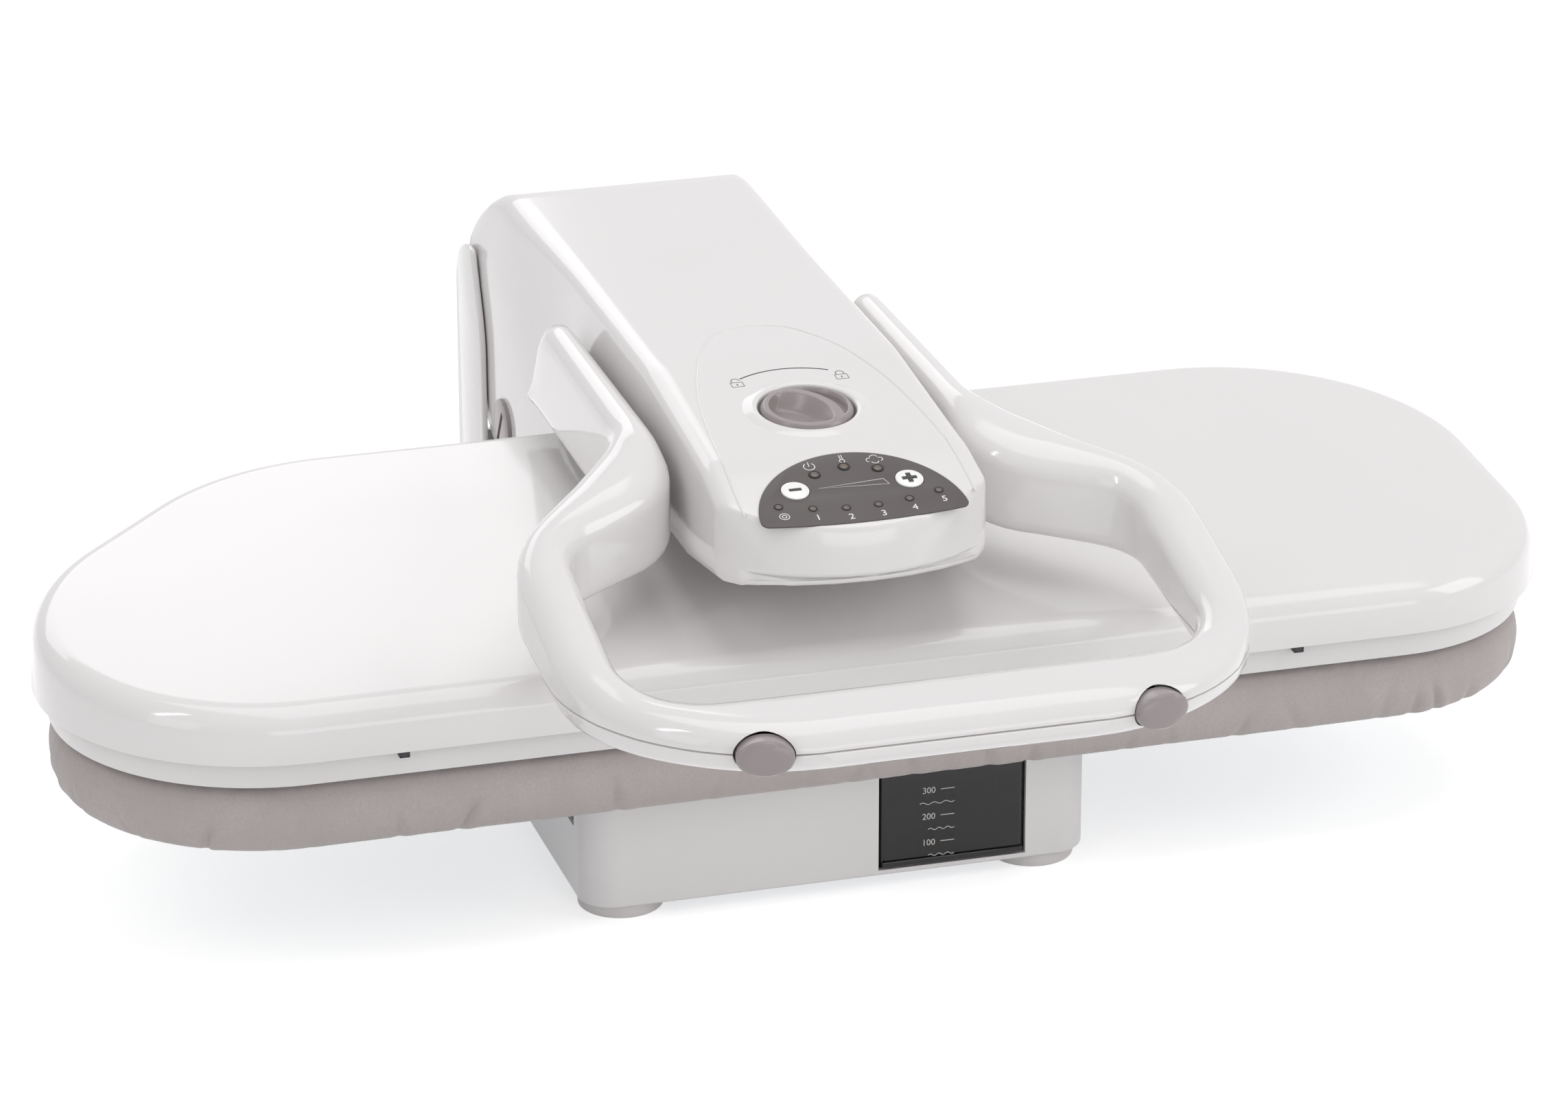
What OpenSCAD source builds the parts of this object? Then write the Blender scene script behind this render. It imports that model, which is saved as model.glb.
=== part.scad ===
/* [Base] */
// Width of the base housing
base_w = 220; // [200:1:240]
// Front face of the base, forward of the origin
base_front = 107; // [100:1:115]
// Depth of the base housing, front to back
base_d = 343; // [335:1:343]
// Height of the base housing
base_h = 50; // [44:0.5:56]
// Corner radius of the base housing
base_r = 15; // [8:0.5:25]
// Wall of the white plastic shells
wall = 2.5; // [2:0.1:3.2]
// Height of the rubber feet
foot_h = 6; // [4:0.5:10]
// Diameter of the rubber feet
foot_d = 36; // [24:1:40]
// Thickness of the base plate
plate_t = 2.5; // [2:0.1:4]

/* [Rear column] */
// Width of the rear column
column_w = 142; // [140:0.5:150]
// Back face of the column, behind the origin
column_back = 274.8; // [272:0.1:278]
// Top of the column cheeks above the lid rim
column_rise = 74; // [60:1:80]
// Thickness of the column cheeks
cheek_t = 4.5; // [4:0.1:5]

/* [Pad] */
// Thickness of the steel board pan
pan_t = 1.5; // [1:0.1:2.5]
// Thickness of the foam
foam_h = 28.5; // [20:0.5:36]
// Thickness of the cloth cover
cloth_t = 1; // [0.6:0.1:1.6]
// How far the pad's edge stays inside the lid's rim
pad_inset = 6; // [3:0.5:12]
// Depth of the gathers in the cloth at the corners
gather = 2; // [0.5:0.1:3]

/* [Lid] */
// Width of the lid
lid_w = 640; // [600:1:680]
// Depth of the lid, front to back
lid_d = 246.5; // [240:0.5:250]
// Front edge of the lid, forward of the origin
lid_front = 134.7; // [130:0.1:136]
// Radius of the front left corner
lid_front_left_r = 95; // [60:1:95]
// Radius of the front right corner
lid_front_right_r = 83; // [60:1:100]
// Radius of the rear right corner
lid_rear_right_r = 109; // [80:1:120]
// Size of the cut rear left corner
lid_cut = 102; // [90:1:106]
// Radius at both ends of the cut corner
lid_cut_r = 118; // [90:1:118]
// Height of the lid above its rim at the front
lid_front_h = 21; // [18:0.5:24]
// Rise of the lid's top toward the back, per mm
lid_slope = 0.069; // [0.05:0.001:0.075]
// Radius of the lid's upper edge
lid_edge_r = 11; // [6:0.5:13]
// Height of the dark seam band under the rim
band_h = 12; // [10:0.5:16]
// How far the band stays inside the rim
band_inset = 6; // [4:0.5:9]

/* [Soleplate] */
// Gap between the closed soleplate and the pad
sole_gap = 0.3; // [0.3:0.1:1]
// Thickness of the soleplate
sole_t = 8; // [6:0.5:10]
// Diameter of the steam holes
steam_hole_d = 3; // [2:0.1:4]
// Steam holes in one row
steam_cols = 13; // [7:2:17]
// Diameter of the heating tube
heater_d = 8; // [6:0.5:8.5]

/* [Arm] */
// Arm top above the lid rim
arm_rise = 104; // [101:0.5:108]
// Width of the arm at the hinge
arm_w = 131.4; // [130:0.2:131.4]
// Width of the arm at the nose
nose_w = 115; // [108:0.5:118]
// Width of the arm's flat top
arm_top_w = 106; // [100:0.5:110]
// Front of the nose, forward of the origin
nose_front = 152.5; // [150:0.5:156]
// Gap between the lid's rear top edge and the arm's underside
arm_gap = 7; // [6:0.5:9]
// Wall of the arm cover
arm_wall = 3; // [2.5:0.1:3.5]

/* [Hinge] */
// Hinge axis behind the origin
hinge_y = 200; // [197:0.5:202]
// Hinge axis above the lid rim
hinge_rise = 4; // [2:0.5:6]
// Diameter of the hinge shaft
hinge_d = 12; // [10:0.5:14]
// Wall of the hinge bushes
bush_wall = 2; // [1.5:0.1:3]
// Diameter of the slotted hinge caps
cap_d = 26; // [22:0.5:30]
// Outer diameter of the lifting springs
spring_d = 30; // [24:1:34]

/* [Handle] */
// Width of the handle loop
handle_w = 295; // [285:1:305]
// Front of the handle, forward of the origin
handle_front = 273; // [270:0.5:278]
// Thickness of the handle's side fins
fin_t = 15; // [13:0.5:17]
// Depth of the front grip bar
grip_d = 41; // [36:0.5:44]
// Height of the front grip bar
grip_h = 21; // [19:0.5:24]
// Handle pivot behind the origin
pivot_y = 90; // [86:0.5:94]
// Handle pivot above the lid rim
pivot_rise = 64; // [62:0.5:66]
// Diameter of the handle's cross shaft
cross_d = 10; // [8:0.5:12]
// Wall of the handle shells
handle_wall = 2.5; // [2:0.1:3]
// Distance of each steam button from the middle
button_x = 80; // [74:0.5:86]
// Width of a steam button
button_w = 23; // [18:0.5:26]
// Height of a steam button
button_h = 15; // [11:0.5:16]
// Travel of a steam button
button_travel = 2; // [1:0.1:2.5]

/* [Press mechanism] */
// Throw of the press cams
cam_throw = 12; // [10:0.5:14]
// Radius of the press cams
cam_r = 9; // [7:0.5:10]
// Thickness of a press cam
cam_t = 8; // [6:0.5:9]
// Gap between a cam and its pad at rest
cam_gap = 0.3; // [0.3:0.1:0.6]
// Diameter of the guide pins
pin_d = 8; // [6:0.5:10]
// Running clearance of shafts and pins, on the radius
run_fit = 0.05; // [0.03:0.01:0.08]
// Thickness of the arm's steel frame
frame_t = 3; // [2:0.1:4]

/* [Control panel] */
// Diameter of the lock knob
knob_d = 39; // [38:0.5:46]
// Knob centre, forward of the origin
knob_y = 56.5; // [54:0.5:60]
// Radius of the half moon panel
panel_r = 44; // [42:0.5:46]
// Diameter of the two keys
key_d = 12; // [9:0.5:13]
// Distance of each key from the middle
key_x = 24.2; // [22:0.1:26]
// Travel of a key
key_travel = 0.8; // [0.4:0.1:1]
// Diameter of the indicator lamps
lamp_d = 3.4; // [2.5:0.1:4]

/* [Water tank] */
// Width of the tank
tank_w = 64; // [54:0.5:70]
// Tank centre, in from the base's right side
tank_in = 61.4; // [59:0.2:64]
// Length of the tank
tank_l = 150; // [120:1:155]
// Wall of the tank
tank_wall = 2; // [1.5:0.1:3]
// Running clearance round the tank
tank_gap = 0.4; // [0.3:0.1:0.8]
// Diameter of the water hose
hose_d = 6; // [4:0.5:7]

/* [Hidden] */
$fn = 48;

white = "#EFEDED";
grey = "#9A9191";
dark = "#5E5656";
cloth_grey = "#A39B9B";
steel = "#B9BCC0";
smoke = "#3A3A3C";
black = "#26262A";

rest = 0.3;
base_back = base_d - base_front;
base_top = foot_h + base_h;
floor_z = foot_h + plate_t;
pan_z = base_top + pan_t;
foam_z = pan_z + foam_h;
pad_z = foam_z + cloth_t;
sole_z = pad_z + sole_gap;
sole_top = sole_z + sole_t;
rim_z = sole_z + 0.7 + band_h;
lid_rear = lid_d - lid_front;
hinge_z = rim_z + hinge_rise;
arm_top = rim_z + arm_rise;
pivot_z = rim_z + pivot_rise;
function lid_top(y) = rim_z + lid_front_h + lid_slope * (y + lid_front);
arm_z = lid_top(lid_rear) + arm_gap;

lid_shape = [[-lid_w/2, -lid_front, lid_front_left_r], [lid_w/2, -lid_front, lid_front_right_r],
    [lid_w/2, lid_rear, lid_rear_right_r], [-lid_w/2 + lid_cut, lid_rear, lid_cut_r],
    [-lid_w/2, lid_rear - lid_cut, lid_cut_r]];

// Rounded outlines: each corner is [x, y, radius], listed counter-clockwise
function unit(v) = v / norm(v);
function flat(v) = [v[0], v[1]];
function cross2(a, b) = a[0] * b[1] - a[1] * b[0];
function left_of(u) = [-u[1], u[0]];
function turned(v, q) = [v[0] * cos(q) - v[1] * sin(q), v[0] * sin(q) + v[1] * cos(q)];
function before(v, i) = v[(i + len(v) - 1) % len(v)];
function after(v, i) = v[(i + 1) % len(v)];
function corner(a, b, c, r, n) =
    let (u = unit(b - a), w = unit(c - b), s = sign(cross2(u, w)),
        bend = acos(min(1, u * w)), side = left_of(u) * s,
        centre = b - u * r * tan(bend / 2) + side * r)
    [for (k = [0:n]) centre - turned(side * r, s * bend * k / n)];
function rounded(v, n = 7) = [for (i = [0:len(v) - 1])
    each corner(flat(before(v, i)), flat(v[i]), flat(after(v, i)), v[i][2], n)];
function inset(v, d) = [for (i = [0:len(v) - 1])
    let (b = flat(v[i]), u = unit(b - flat(before(v, i))), w = unit(flat(after(v, i)) - b),
        p = b + d * (left_of(u) + left_of(w)) / (1 + left_of(u) * left_of(w)),
        r = cross2(u, w) > 0 ? v[i][2] - d : v[i][2] + d)
    [p[0], p[1], max(r, 0.4)]];
function mirrored(v) = [for (i = [len(v) - 1:-1:0]) [-v[i][0], v[i][1], v[i][2]]];

// Closed solid through rings that hold the same number of points
module loft(rings) {
    n = len(rings[0]);
    m = len(rings);
    polyhedron(points = [for (r = rings) each r],
        faces = concat([[for (i = [0:n - 1]) i]],
            [for (k = [0:m - 2], i = [0:n - 1]) let (j = (i + 1) % n)
                each [[k * n + i, (k + 1) * n + i, (k + 1) * n + j], [k * n + i, (k + 1) * n + j, k * n + j]]],
            [[for (i = [n - 1:-1:0]) (m - 1) * n + i]]));
}

// Hose or wire swept along its route
module hose(route, r, sides = 8) {
    last = len(route) - 1;
    loft([for (i = [0:last])
        let (d = unit(route[min(i + 1, last)] - route[max(i - 1, 0)]),
            side = unit(cross(d, abs(d[0]) > 0.9 ? [0, 0, 1] : [1, 0, 0])), up = cross(d, side))
        [for (k = [0:sides - 1]) route[i] + r * (cos(360 * k / sides) * side + sin(360 * k / sides) * up)]]);
}

module slab(x0, x1, y0, y1, z0, z1, r) {
    translate([0, 0, z0]) linear_extrude(z1 - z0) {
        translate([x0 + r, y0]) square([x1 - x0 - 2 * r, y1 - y0]);
        translate([x0, y0 + r]) square([x1 - x0, y1 - y0 - 2 * r]);
        for (x = [x0 + r, x1 - r], y = [y0 + r, y1 - r]) translate([x, y]) circle(r);
    }
}
module box(x0, x1, y0, y1, z0, z1) {
    translate([x0, y0, z0]) cube([x1 - x0, y1 - y0, z1 - z0]);
}
module rod_z(x, y, z0, z1, d) {
    translate([x, y, z0]) cylinder(d = d, h = z1 - z0);
}
module rod_y(x, z, y0, y1, d) {
    translate([x, y0, z]) rotate([-90, 0, 0]) cylinder(d = d, h = y1 - y0);
}
module rod_x(y, z, x0, x1, d) {
    translate([x0, y, z]) rotate([0, 90, 0]) cylinder(d = d, h = x1 - x0);
}
// Extrudes an outline drawn in the side view, Y to the right and Z up
module side_extrude(x0, x1) {
    translate([x0, 0, 0]) rotate([90, 0, 90]) linear_extrude(x1 - x0) children();
}

// Base
foot_x = base_w/2 - foot_d/2 - 2;
foot_front = -base_front + foot_d/2 + 2;
foot_back = base_back - foot_d/2 - 2;
screw_in = 12;
screw_ys = [-base_front + 48, base_back - 48];
shaft_slot_x = 4;
hose_hole_y = hinge_y - 20;
module base_housing() {
    color(white) difference() {
        slab(-base_w/2, base_w/2, -base_front, base_back, foot_h, base_top, base_r);
        slab(-base_w/2 + wall, base_w/2 - wall, -base_front + wall, base_back - wall,
            foot_h - 1, base_top - wall, base_r - wall);
        box(tank_x - tank_w/2 - tank_gap, tank_x + tank_w/2 + tank_gap,
            -base_front - 1, -base_front + wall + 1, floor_z, base_top - wall);
        box(-base_w/2 - 1, -base_w/2 + 1.2, -base_front + 10, -base_front + 34,
            base_top - 26, base_top - 14);
        rod_z(-shaft_slot_x, hose_hole_y, base_top - wall - 1, base_top + 1, hose_d + 6);
    }
    color(white) for (x = [-1, 1], y = screw_ys) difference() {
        rod_z(x * (base_w/2 - screw_in), y, floor_z, base_top - wall, 9);
        rod_z(x * (base_w/2 - screw_in), y, floor_z - 1, floor_z + 14, 3.4);
    }
}
module base_plate() {
    color(steel) difference() {
        slab(-base_w/2 + wall + rest, base_w/2 - wall - rest, -base_front + wall + rest,
            base_back - wall - rest, foot_h, floor_z, base_r - wall - rest);
        for (x = [-1, 1], y = screw_ys)
            rod_z(x * (base_w/2 - screw_in), y, foot_h - 1, floor_z + 1, 3.4);
        for (x = [-foot_x, foot_x], y = [foot_front, foot_back])
            rod_z(x, y, foot_h - 1, floor_z + 1, 6);
    }
    color(steel) for (x = [14, 82], y = [140, 195]) rod_z(x, y, floor_z, floor_z + 6, 6);
}
module rubber_feet() {
    color(black) for (x = [-foot_x, foot_x], y = [foot_front, foot_back]) {
        difference() {
            union() {
                rod_z(x, y, 0, foot_h, foot_d);
                rod_z(x, y, 0, floor_z + 1, 6);
            }
            rod_z(x, y, -1, 1.5, foot_d - 12);
        }
        rod_z(x, y, floor_z, floor_z + 1.5, 9);
    }
}
module base_screws() {
    color(steel) for (x = [-1, 1], y = screw_ys) {
        rod_z(x * (base_w/2 - screw_in), y, foot_h - 1.8, foot_h, 6);
        rod_z(x * (base_w/2 - screw_in), y, foot_h, floor_z + 12, 3.4);
    }
}

// Rear column: two cheeks with the arm's rear end between them
column_top = rim_z + column_rise;
column_front = base_back + rest;
cheek_front = 244;
back_wall = 4;
back_top = rim_z - 24;
cheek_r = 24;
cheek_lean = 5;
cheek_step = 50;
cheek_outline = concat([[cheek_front, base_top + 1], [column_front, base_top + 1], [column_front, foot_h],
    [column_back, foot_h]], corner([column_back, foot_h], [column_back, column_top],
    [cheek_front, column_top], cheek_r, 8),
    [[cheek_front + cheek_lean, column_top], [cheek_front, column_top - cheek_step]]);
module rear_column() {
    in_x = column_w/2 - cheek_t;
    color(white) for (x = [-column_w/2, in_x]) side_extrude(x, x + cheek_t) polygon(cheek_outline);
    color(white) difference() {
        box(-in_x - 1, in_x + 1, column_back - back_wall, column_back - 0.5, foot_h + 1, back_top);
        rod_y(0, gland_z, column_back - back_wall - 1, column_back + 1, gland_d);
    }
    color(white) box(-in_x - 1, in_x + 1, column_front + 0.5, column_front + back_wall, foot_h + 1, base_top);
}
gland_d = 14;
gland_z = foot_h + 24;
module cord_gland() {
    color(black) difference() {
        union() {
            rod_y(0, gland_z, column_back - back_wall - 5, column_back, gland_d);
            rod_y(0, gland_z, column_back - back_wall - 3, column_back - back_wall, gland_d + 4);
        }
        rod_y(0, gland_z, column_back - back_wall - 6, column_back + 1, gland_d - 6);
    }
}

// Hinge
cheek_x = 49;
bracket_t = 4;
bracket_front = hinge_y - 35;
bracket_back = hinge_y + 30;
module hinge_bracket() {
    color(steel) difference() {
        union() {
            box(-cheek_x - bracket_t, cheek_x + bracket_t, bracket_front, bracket_back, base_top, base_top + 3);
            for (x = [-cheek_x - bracket_t, cheek_x]) side_extrude(x, x + bracket_t) {
                translate([hinge_y, hinge_z]) circle(hinge_d/2 + 9);
                polygon([[bracket_front, base_top], [bracket_back, base_top],
                    [hinge_y + hinge_d/2 + 8, hinge_z], [hinge_y - hinge_d/2 - 8, hinge_z]]);
            }
        }
        rod_x(hinge_y, hinge_z, -cheek_x - 5, cheek_x + 5, hinge_d);
        rod_z(-shaft_slot_x, hose_hole_y, base_top - 1, base_top + 4, hose_d + 4);
    }
}
module hinge_shaft() {
    ring_x = cheek_x + bracket_t + 2;
    color("#D5D8DC") difference() {
        rod_x(hinge_y, hinge_z, -ring_x - 2, ring_x + 2, hinge_d);
        for (s = [-1, 1]) difference() {
            rod_x(hinge_y, hinge_z, s * ring_x - 0.6, s * ring_x + 0.6, hinge_d + 1);
            rod_x(hinge_y, hinge_z, s * ring_x - 1, s * ring_x + 1, hinge_d - 1.6);
        }
    }
}
spring_in = 8;
spring_out = 39;
module lifting_springs() {
    color("#8C9096") for (s = [-1, 1]) difference() {
        rod_x(hinge_y, hinge_z, s > 0 ? spring_in : -spring_out, s > 0 ? spring_out : -spring_in, spring_d);
        rod_x(hinge_y, hinge_z, -spring_out - 1, spring_out + 1, hinge_d);
    }
}

// Board, foam and cloth cover
function level(d, z) = [for (p = rounded(inset(lid_shape, d))) [p[0], p[1], z]];
module board_pan() {
    color(steel) difference() {
        loft([level(pad_inset + 16, base_top), level(pad_inset + 12, pan_z + 6)]);
        loft([level(pad_inset + 16 + pan_t, pan_z), level(pad_inset + 12 + pan_t, pan_z + 7)]);
    }
}
// Cross section of the pad's edge: height above the base and distance inside the outline
function pad_edge(h) = [[0, 16], [3, 7], [8, 1.2], [h * 0.5, 0], [h * 0.75, 0.6], [h * 0.88, 3],
    [h * 0.96, 7], [h, 13]];
cloth_low = base_top + 0.6;
module foam_pad() {
    color("#D8D2C0") difference() {
        loft([for (e = pad_edge(foam_z - cloth_low - cloth_t))
            level(pad_inset + cloth_t + 1 + e[1] * 0.9, cloth_low + cloth_t + e[0])]);
        loft([level(pad_inset + 16, base_top), level(pad_inset + 12, pan_z + 6)]);
    }
}
function gathered(d, z, depth) =
    let (a = rounded(inset(lid_shape, d), 12), b = rounded(inset(lid_shape, d + 2), 12))
    [for (i = [0:len(a) - 1]) let (w = depth / 4 * (1 + (i % 2 == 0 ? 1 : -1)), p = a[i] * (1 - w) + b[i] * w)
        [p[0], p[1], z]];
module cloth_cover() {
    full = pad_z - cloth_low;
    color(cloth_grey) difference() {
        loft([for (e = pad_edge(full))
            gathered(pad_inset + e[1], cloth_low + e[0], gather * max(0, 1 - e[0] / (full * 0.7)))]);
        loft([for (e = pad_edge(foam_z - cloth_low - cloth_t))
            level(pad_inset + cloth_t + 1 + e[1] * 0.9, cloth_low + cloth_t + e[0])]);
        loft([level(pad_inset + 13.5, cloth_low - 1), level(pad_inset + 13.5, cloth_low + 2)]);
    }
}

// Water system in the base
tank_x = base_w/2 - tank_in;
tank_front = -base_front;
tank_back = tank_front + tank_l;
tank_low = floor_z + tank_gap;
tank_high = base_top - wall - tank_gap;
port_z = tank_low + 14;
module water_tank() {
    color(smoke) difference() {
        slab(tank_x - tank_w/2, tank_x + tank_w/2, tank_front, tank_back, tank_low, tank_high, 3);
        slab(tank_x - tank_w/2 + tank_wall, tank_x + tank_w/2 - tank_wall, tank_front + tank_wall + 1,
            tank_back - tank_wall, tank_low + tank_wall, tank_high - tank_wall, 2);
        rod_z(tank_x, tank_front + 34, tank_high - tank_wall - 1, tank_high + 1, 24);
        rod_z(tank_x, tank_front + 34, tank_high - 1, tank_high + 1, 30);
        rod_y(tank_x, port_z, tank_back - tank_wall - 1, tank_back + 1, 10);
    }
}
module tank_cap() {
    color(grey) {
        rod_z(tank_x, tank_front + 34, tank_high - 1, tank_high - 0.1, 29.6);
        rod_z(tank_x, tank_front + 34, tank_high - tank_wall - 4, tank_high - 1, 23.8);
    }
}
module tank_valve() {
    color(black) difference() {
        union() {
            rod_y(tank_x, port_z, tank_back - tank_wall - 4, tank_back + 6, 10);
            rod_y(tank_x, port_z, tank_back - tank_wall - 4, tank_back - tank_wall, 16);
        }
        rod_y(tank_x, port_z, tank_back - 10, tank_back + 7, 5);
    }
}
module tank_filter() {
    color("#E4E6E8") difference() {
        rod_y(tank_x, port_z, tank_back - tank_wall - 44, tank_back - tank_wall - 4, 22);
        rod_y(tank_x, port_z, tank_back - tank_wall - 41, tank_back - tank_wall - 3, 16);
        for (q = [0:60:120]) translate([tank_x, tank_back - tank_wall - 38, port_z])
            rotate([0, q, 0]) box(-20, 20, 0, 30, -1.5, 1.5);
    }
}
couple_back = tank_back + 24;
module tank_coupling() {
    color(black) difference() {
        union() {
            box(tank_x - 13, tank_x + 13, tank_back + rest, couple_back, floor_z, port_z + 12);
            rod_y(tank_x, port_z, couple_back, couple_back + 8, 5);
        }
        rod_y(tank_x, port_z, tank_back - 1, tank_back + 8, 10.4);
        rod_y(tank_x, port_z, tank_back - 1, couple_back + 9, 3);
    }
}
pump_x = -60;
pump_z = floor_z + 20;
pump_front = 20;
pump_back = 90;
module water_pump() {
    color("#C9A24A") difference() {
        union() {
            rod_y(pump_x, pump_z, pump_front, pump_back, 34);
            rod_y(pump_x, pump_z, pump_front - 8, pump_back + 8, 5);
            box(pump_x - 14, pump_x + 14, pump_front + 8, pump_back - 8, floor_z, pump_z - 6);
        }
        rod_y(pump_x, pump_z, pump_front - 9, pump_front + 6, 3);
        rod_y(pump_x, pump_z, pump_back - 6, pump_back + 9, 3);
    }
}
module feed_hose() {
    color("#D9DDE0") hose([[tank_x, couple_back + 8, port_z], [tank_x, couple_back + 18, port_z],
        [36, couple_back + 34, port_z + 2], [0, couple_back + 46, port_z + 6], [-36, pump_back + 30, pump_z],
        [pump_x + 3, pump_back + 20, pump_z], [pump_x, pump_back + 8, pump_z]], hose_d/2);
}
union_x = 2.7;
union_d = hinge_d + 10;
module pressure_hose() {
    color("#D9DDE0") hose([[pump_x, pump_front - 8, pump_z], [pump_x, pump_front - 16, pump_z],
        [pump_x - 14, pump_front - 26, pump_z], [-92, pump_front - 14, pump_z], [-95, pump_front + 12, pump_z],
        [-95, pump_back + 30, pump_z], [-84, 152, pump_z + 2], [-40, 172, pump_z + 6],
        [-shaft_slot_x - 6, hose_hole_y - 1, base_top - 10], [-shaft_slot_x, hose_hole_y, base_top + 6],
        [-union_x - 0.6, hinge_y - 6, hinge_z - 31], [-union_x, hinge_y, hinge_z - union_d/2 - 10],
        [-union_x, hinge_y, hinge_z - union_d/2 - 4]], hose_d/2);
}
module water_union() {
    color("#C8A45C") difference() {
        union() {
            rod_x(hinge_y, hinge_z, -2 * union_x, -rest/2, union_d);
            rod_z(-union_x, hinge_y, hinge_z - union_d/2 - 4, hinge_z - hinge_d/2 - 1, 4.5);
        }
        rod_x(hinge_y, hinge_z, -20, 20, hinge_d);
        rod_z(-union_x, hinge_y, hinge_z - union_d/2 - 5, hinge_z - hinge_d/2 - 2, 2.5);
    }
}
module power_board() {
    color("#3F7D4E") box(6, 90, 132, 203, floor_z + 6, floor_z + 7.6);
    color(black) {
        box(24, 52, 142, 166, floor_z + 7.6, floor_z + 28);
        box(60, 76, 144, 160, floor_z + 7.6, floor_z + 22);
        box(60, 76, 168, 184, floor_z + 7.6, floor_z + 22);
        rod_z(34, 186, floor_z + 7.6, floor_z + 24, 14);
    }
}

// Arm: a side profile, a plan outline and a drafted front section, all inset by the same wall
panel_y = -122;
panel_z = arm_top - 16.2;
panel_tilt = atan(14 / (nose_front - 102.5));
knob_tilt = atan((arm_top - panel_z - 6.7) / 93);
knob_z = arm_top - (knob_y - 5) * tan(knob_tilt);
nose_r = 75.5;
arm_profile = [[-nose_front, arm_top - 46, 6], [-74, arm_z, 30], [lid_rear + 6, arm_z, 4],
    [lid_rear + 13, hinge_z - 18, 10], [hinge_y + 22, hinge_z - 18, 8], [hinge_y + 63.5, hinge_z + 6, 4],
    [hinge_y + 66.5, hinge_z + 34, 30], [hinge_y + 64, arm_top, 42], [-5, arm_top, 120],
    [-98, panel_z + 6.7, 25], [-nose_front + 4.5, panel_z - 7.3, 9]];
module arm_plan(d) {
    q = asin((nose_w/2 - d) / (nose_r - d));
    front = [for (k = [-8:8]) [(nose_r - d) * sin(q * k / 8), nose_r - nose_front - (nose_r - d) * cos(q * k / 8)]];
    polygon(concat(front, [[nose_w/2 - d, -20], [arm_w/2 - d, 60], [arm_w/2 - d, column_back],
        [-arm_w/2 + d, column_back], [-arm_w/2 + d, 60], [-nose_w/2 + d, -20]]));
}
module arm_section(d) {
    half = arm_top_w/2;
    rotate([90, 0, 0]) linear_extrude(2 * column_back + 20, center = true)
        polygon(rounded([[-arm_w/2 - 2.4 + d, hinge_z - 20, 1], [arm_w/2 + 2.4 - d, hinge_z - 20, 1],
            [half - d, arm_top - d, 9], [-half + d, arm_top - d, 9]]));
}
module arm_solid(d) {
    intersection() {
        side_extrude(-arm_w, arm_w) polygon(rounded(inset(arm_profile, d)));
        translate([0, 0, hinge_z - 40]) linear_extrude(arm_rise + 60) arm_plan(d);
        arm_section(d);
    }
}
module on_panel(x = 0, v = 0) {
    translate([0, panel_y, panel_z]) rotate([panel_tilt, 0, 0]) translate([x, v, 0]) children();
}
module on_knob() {
    translate([0, -knob_y, knob_z]) rotate([knob_tilt, 0, 0]) children();
}
key_v = 1.7;
lamps = [[0, 14.2], [-13.4, 10.8], [13.4, 10.8], for (s = [-1, 1]) each [[6.8 * s, -12.8],
    [20.4 * s, -11.1], [33.9 * s, -7.7]]];
seat_d = knob_d + 8;
module arm_cover() {
    color(white) difference() {
        arm_solid(0);
        arm_solid(arm_wall);
        translate([0, 0, -arm_wall - 1]) arm_solid(arm_wall);
        on_knob() translate([0, 0, -12]) cylinder(d = seat_d, h = 20);
        for (x = [-key_x, key_x]) on_panel(x, key_v) translate([0, 0, -6]) cylinder(d = key_d, h = 12);
        for (p = lamps) on_panel(p[0], p[1]) translate([0, 0, -6]) cylinder(d = lamp_d, h = 12);
        rod_x(pivot_y, pivot_z, -arm_w, arm_w, cross_d + 2);
        rod_x(hinge_y, hinge_z, -arm_w, arm_w, cap_d - 4);
    }
}
frame_x = 42;
web_z = arm_z + 10;
sleeve_ys = [-20, pivot_y - 44];
inlet_x = 25;
inlet_y = 30;
bush_d = hinge_d + 2 * run_fit + 2 * bush_wall;
module arm_frame() {
    color(steel) difference() {
        union() {
            for (x = [-frame_x - frame_t, frame_x]) side_extrude(x, x + frame_t) {
                translate([hinge_y, hinge_z]) circle(bush_d/2 + 8);
                polygon([[-92, web_z], [lid_rear + 38, web_z], [hinge_y - bush_d/2 - 8, hinge_z],
                    [hinge_y + bush_d/2 + 8, hinge_z], [hinge_y + 18, arm_top - 14], [-10, arm_top - 14],
                    [-92, panel_z - 12]]);
            }
            box(-frame_x, frame_x, -92, lid_rear + 38, web_z, web_z + frame_t);
        }
        rod_x(pivot_y, pivot_z, -60, 60, cross_d + 2 * run_fit);
        rod_x(hinge_y, hinge_z, -60, 60, bush_d);
        box(-frame_x + 2, frame_x - 2, pivot_y - cam_throw - cam_r - 8, pivot_y + 20, web_z - 1, web_z + 4);
        for (y = sleeve_ys) rod_z(0, y, web_z - 1, web_z + 4, pin_d + 6);
        rod_z(inlet_x, inlet_y, web_z - 1, web_z + 4, hose_d + 3);
    }
}
underside_fit = 0.8;
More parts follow.
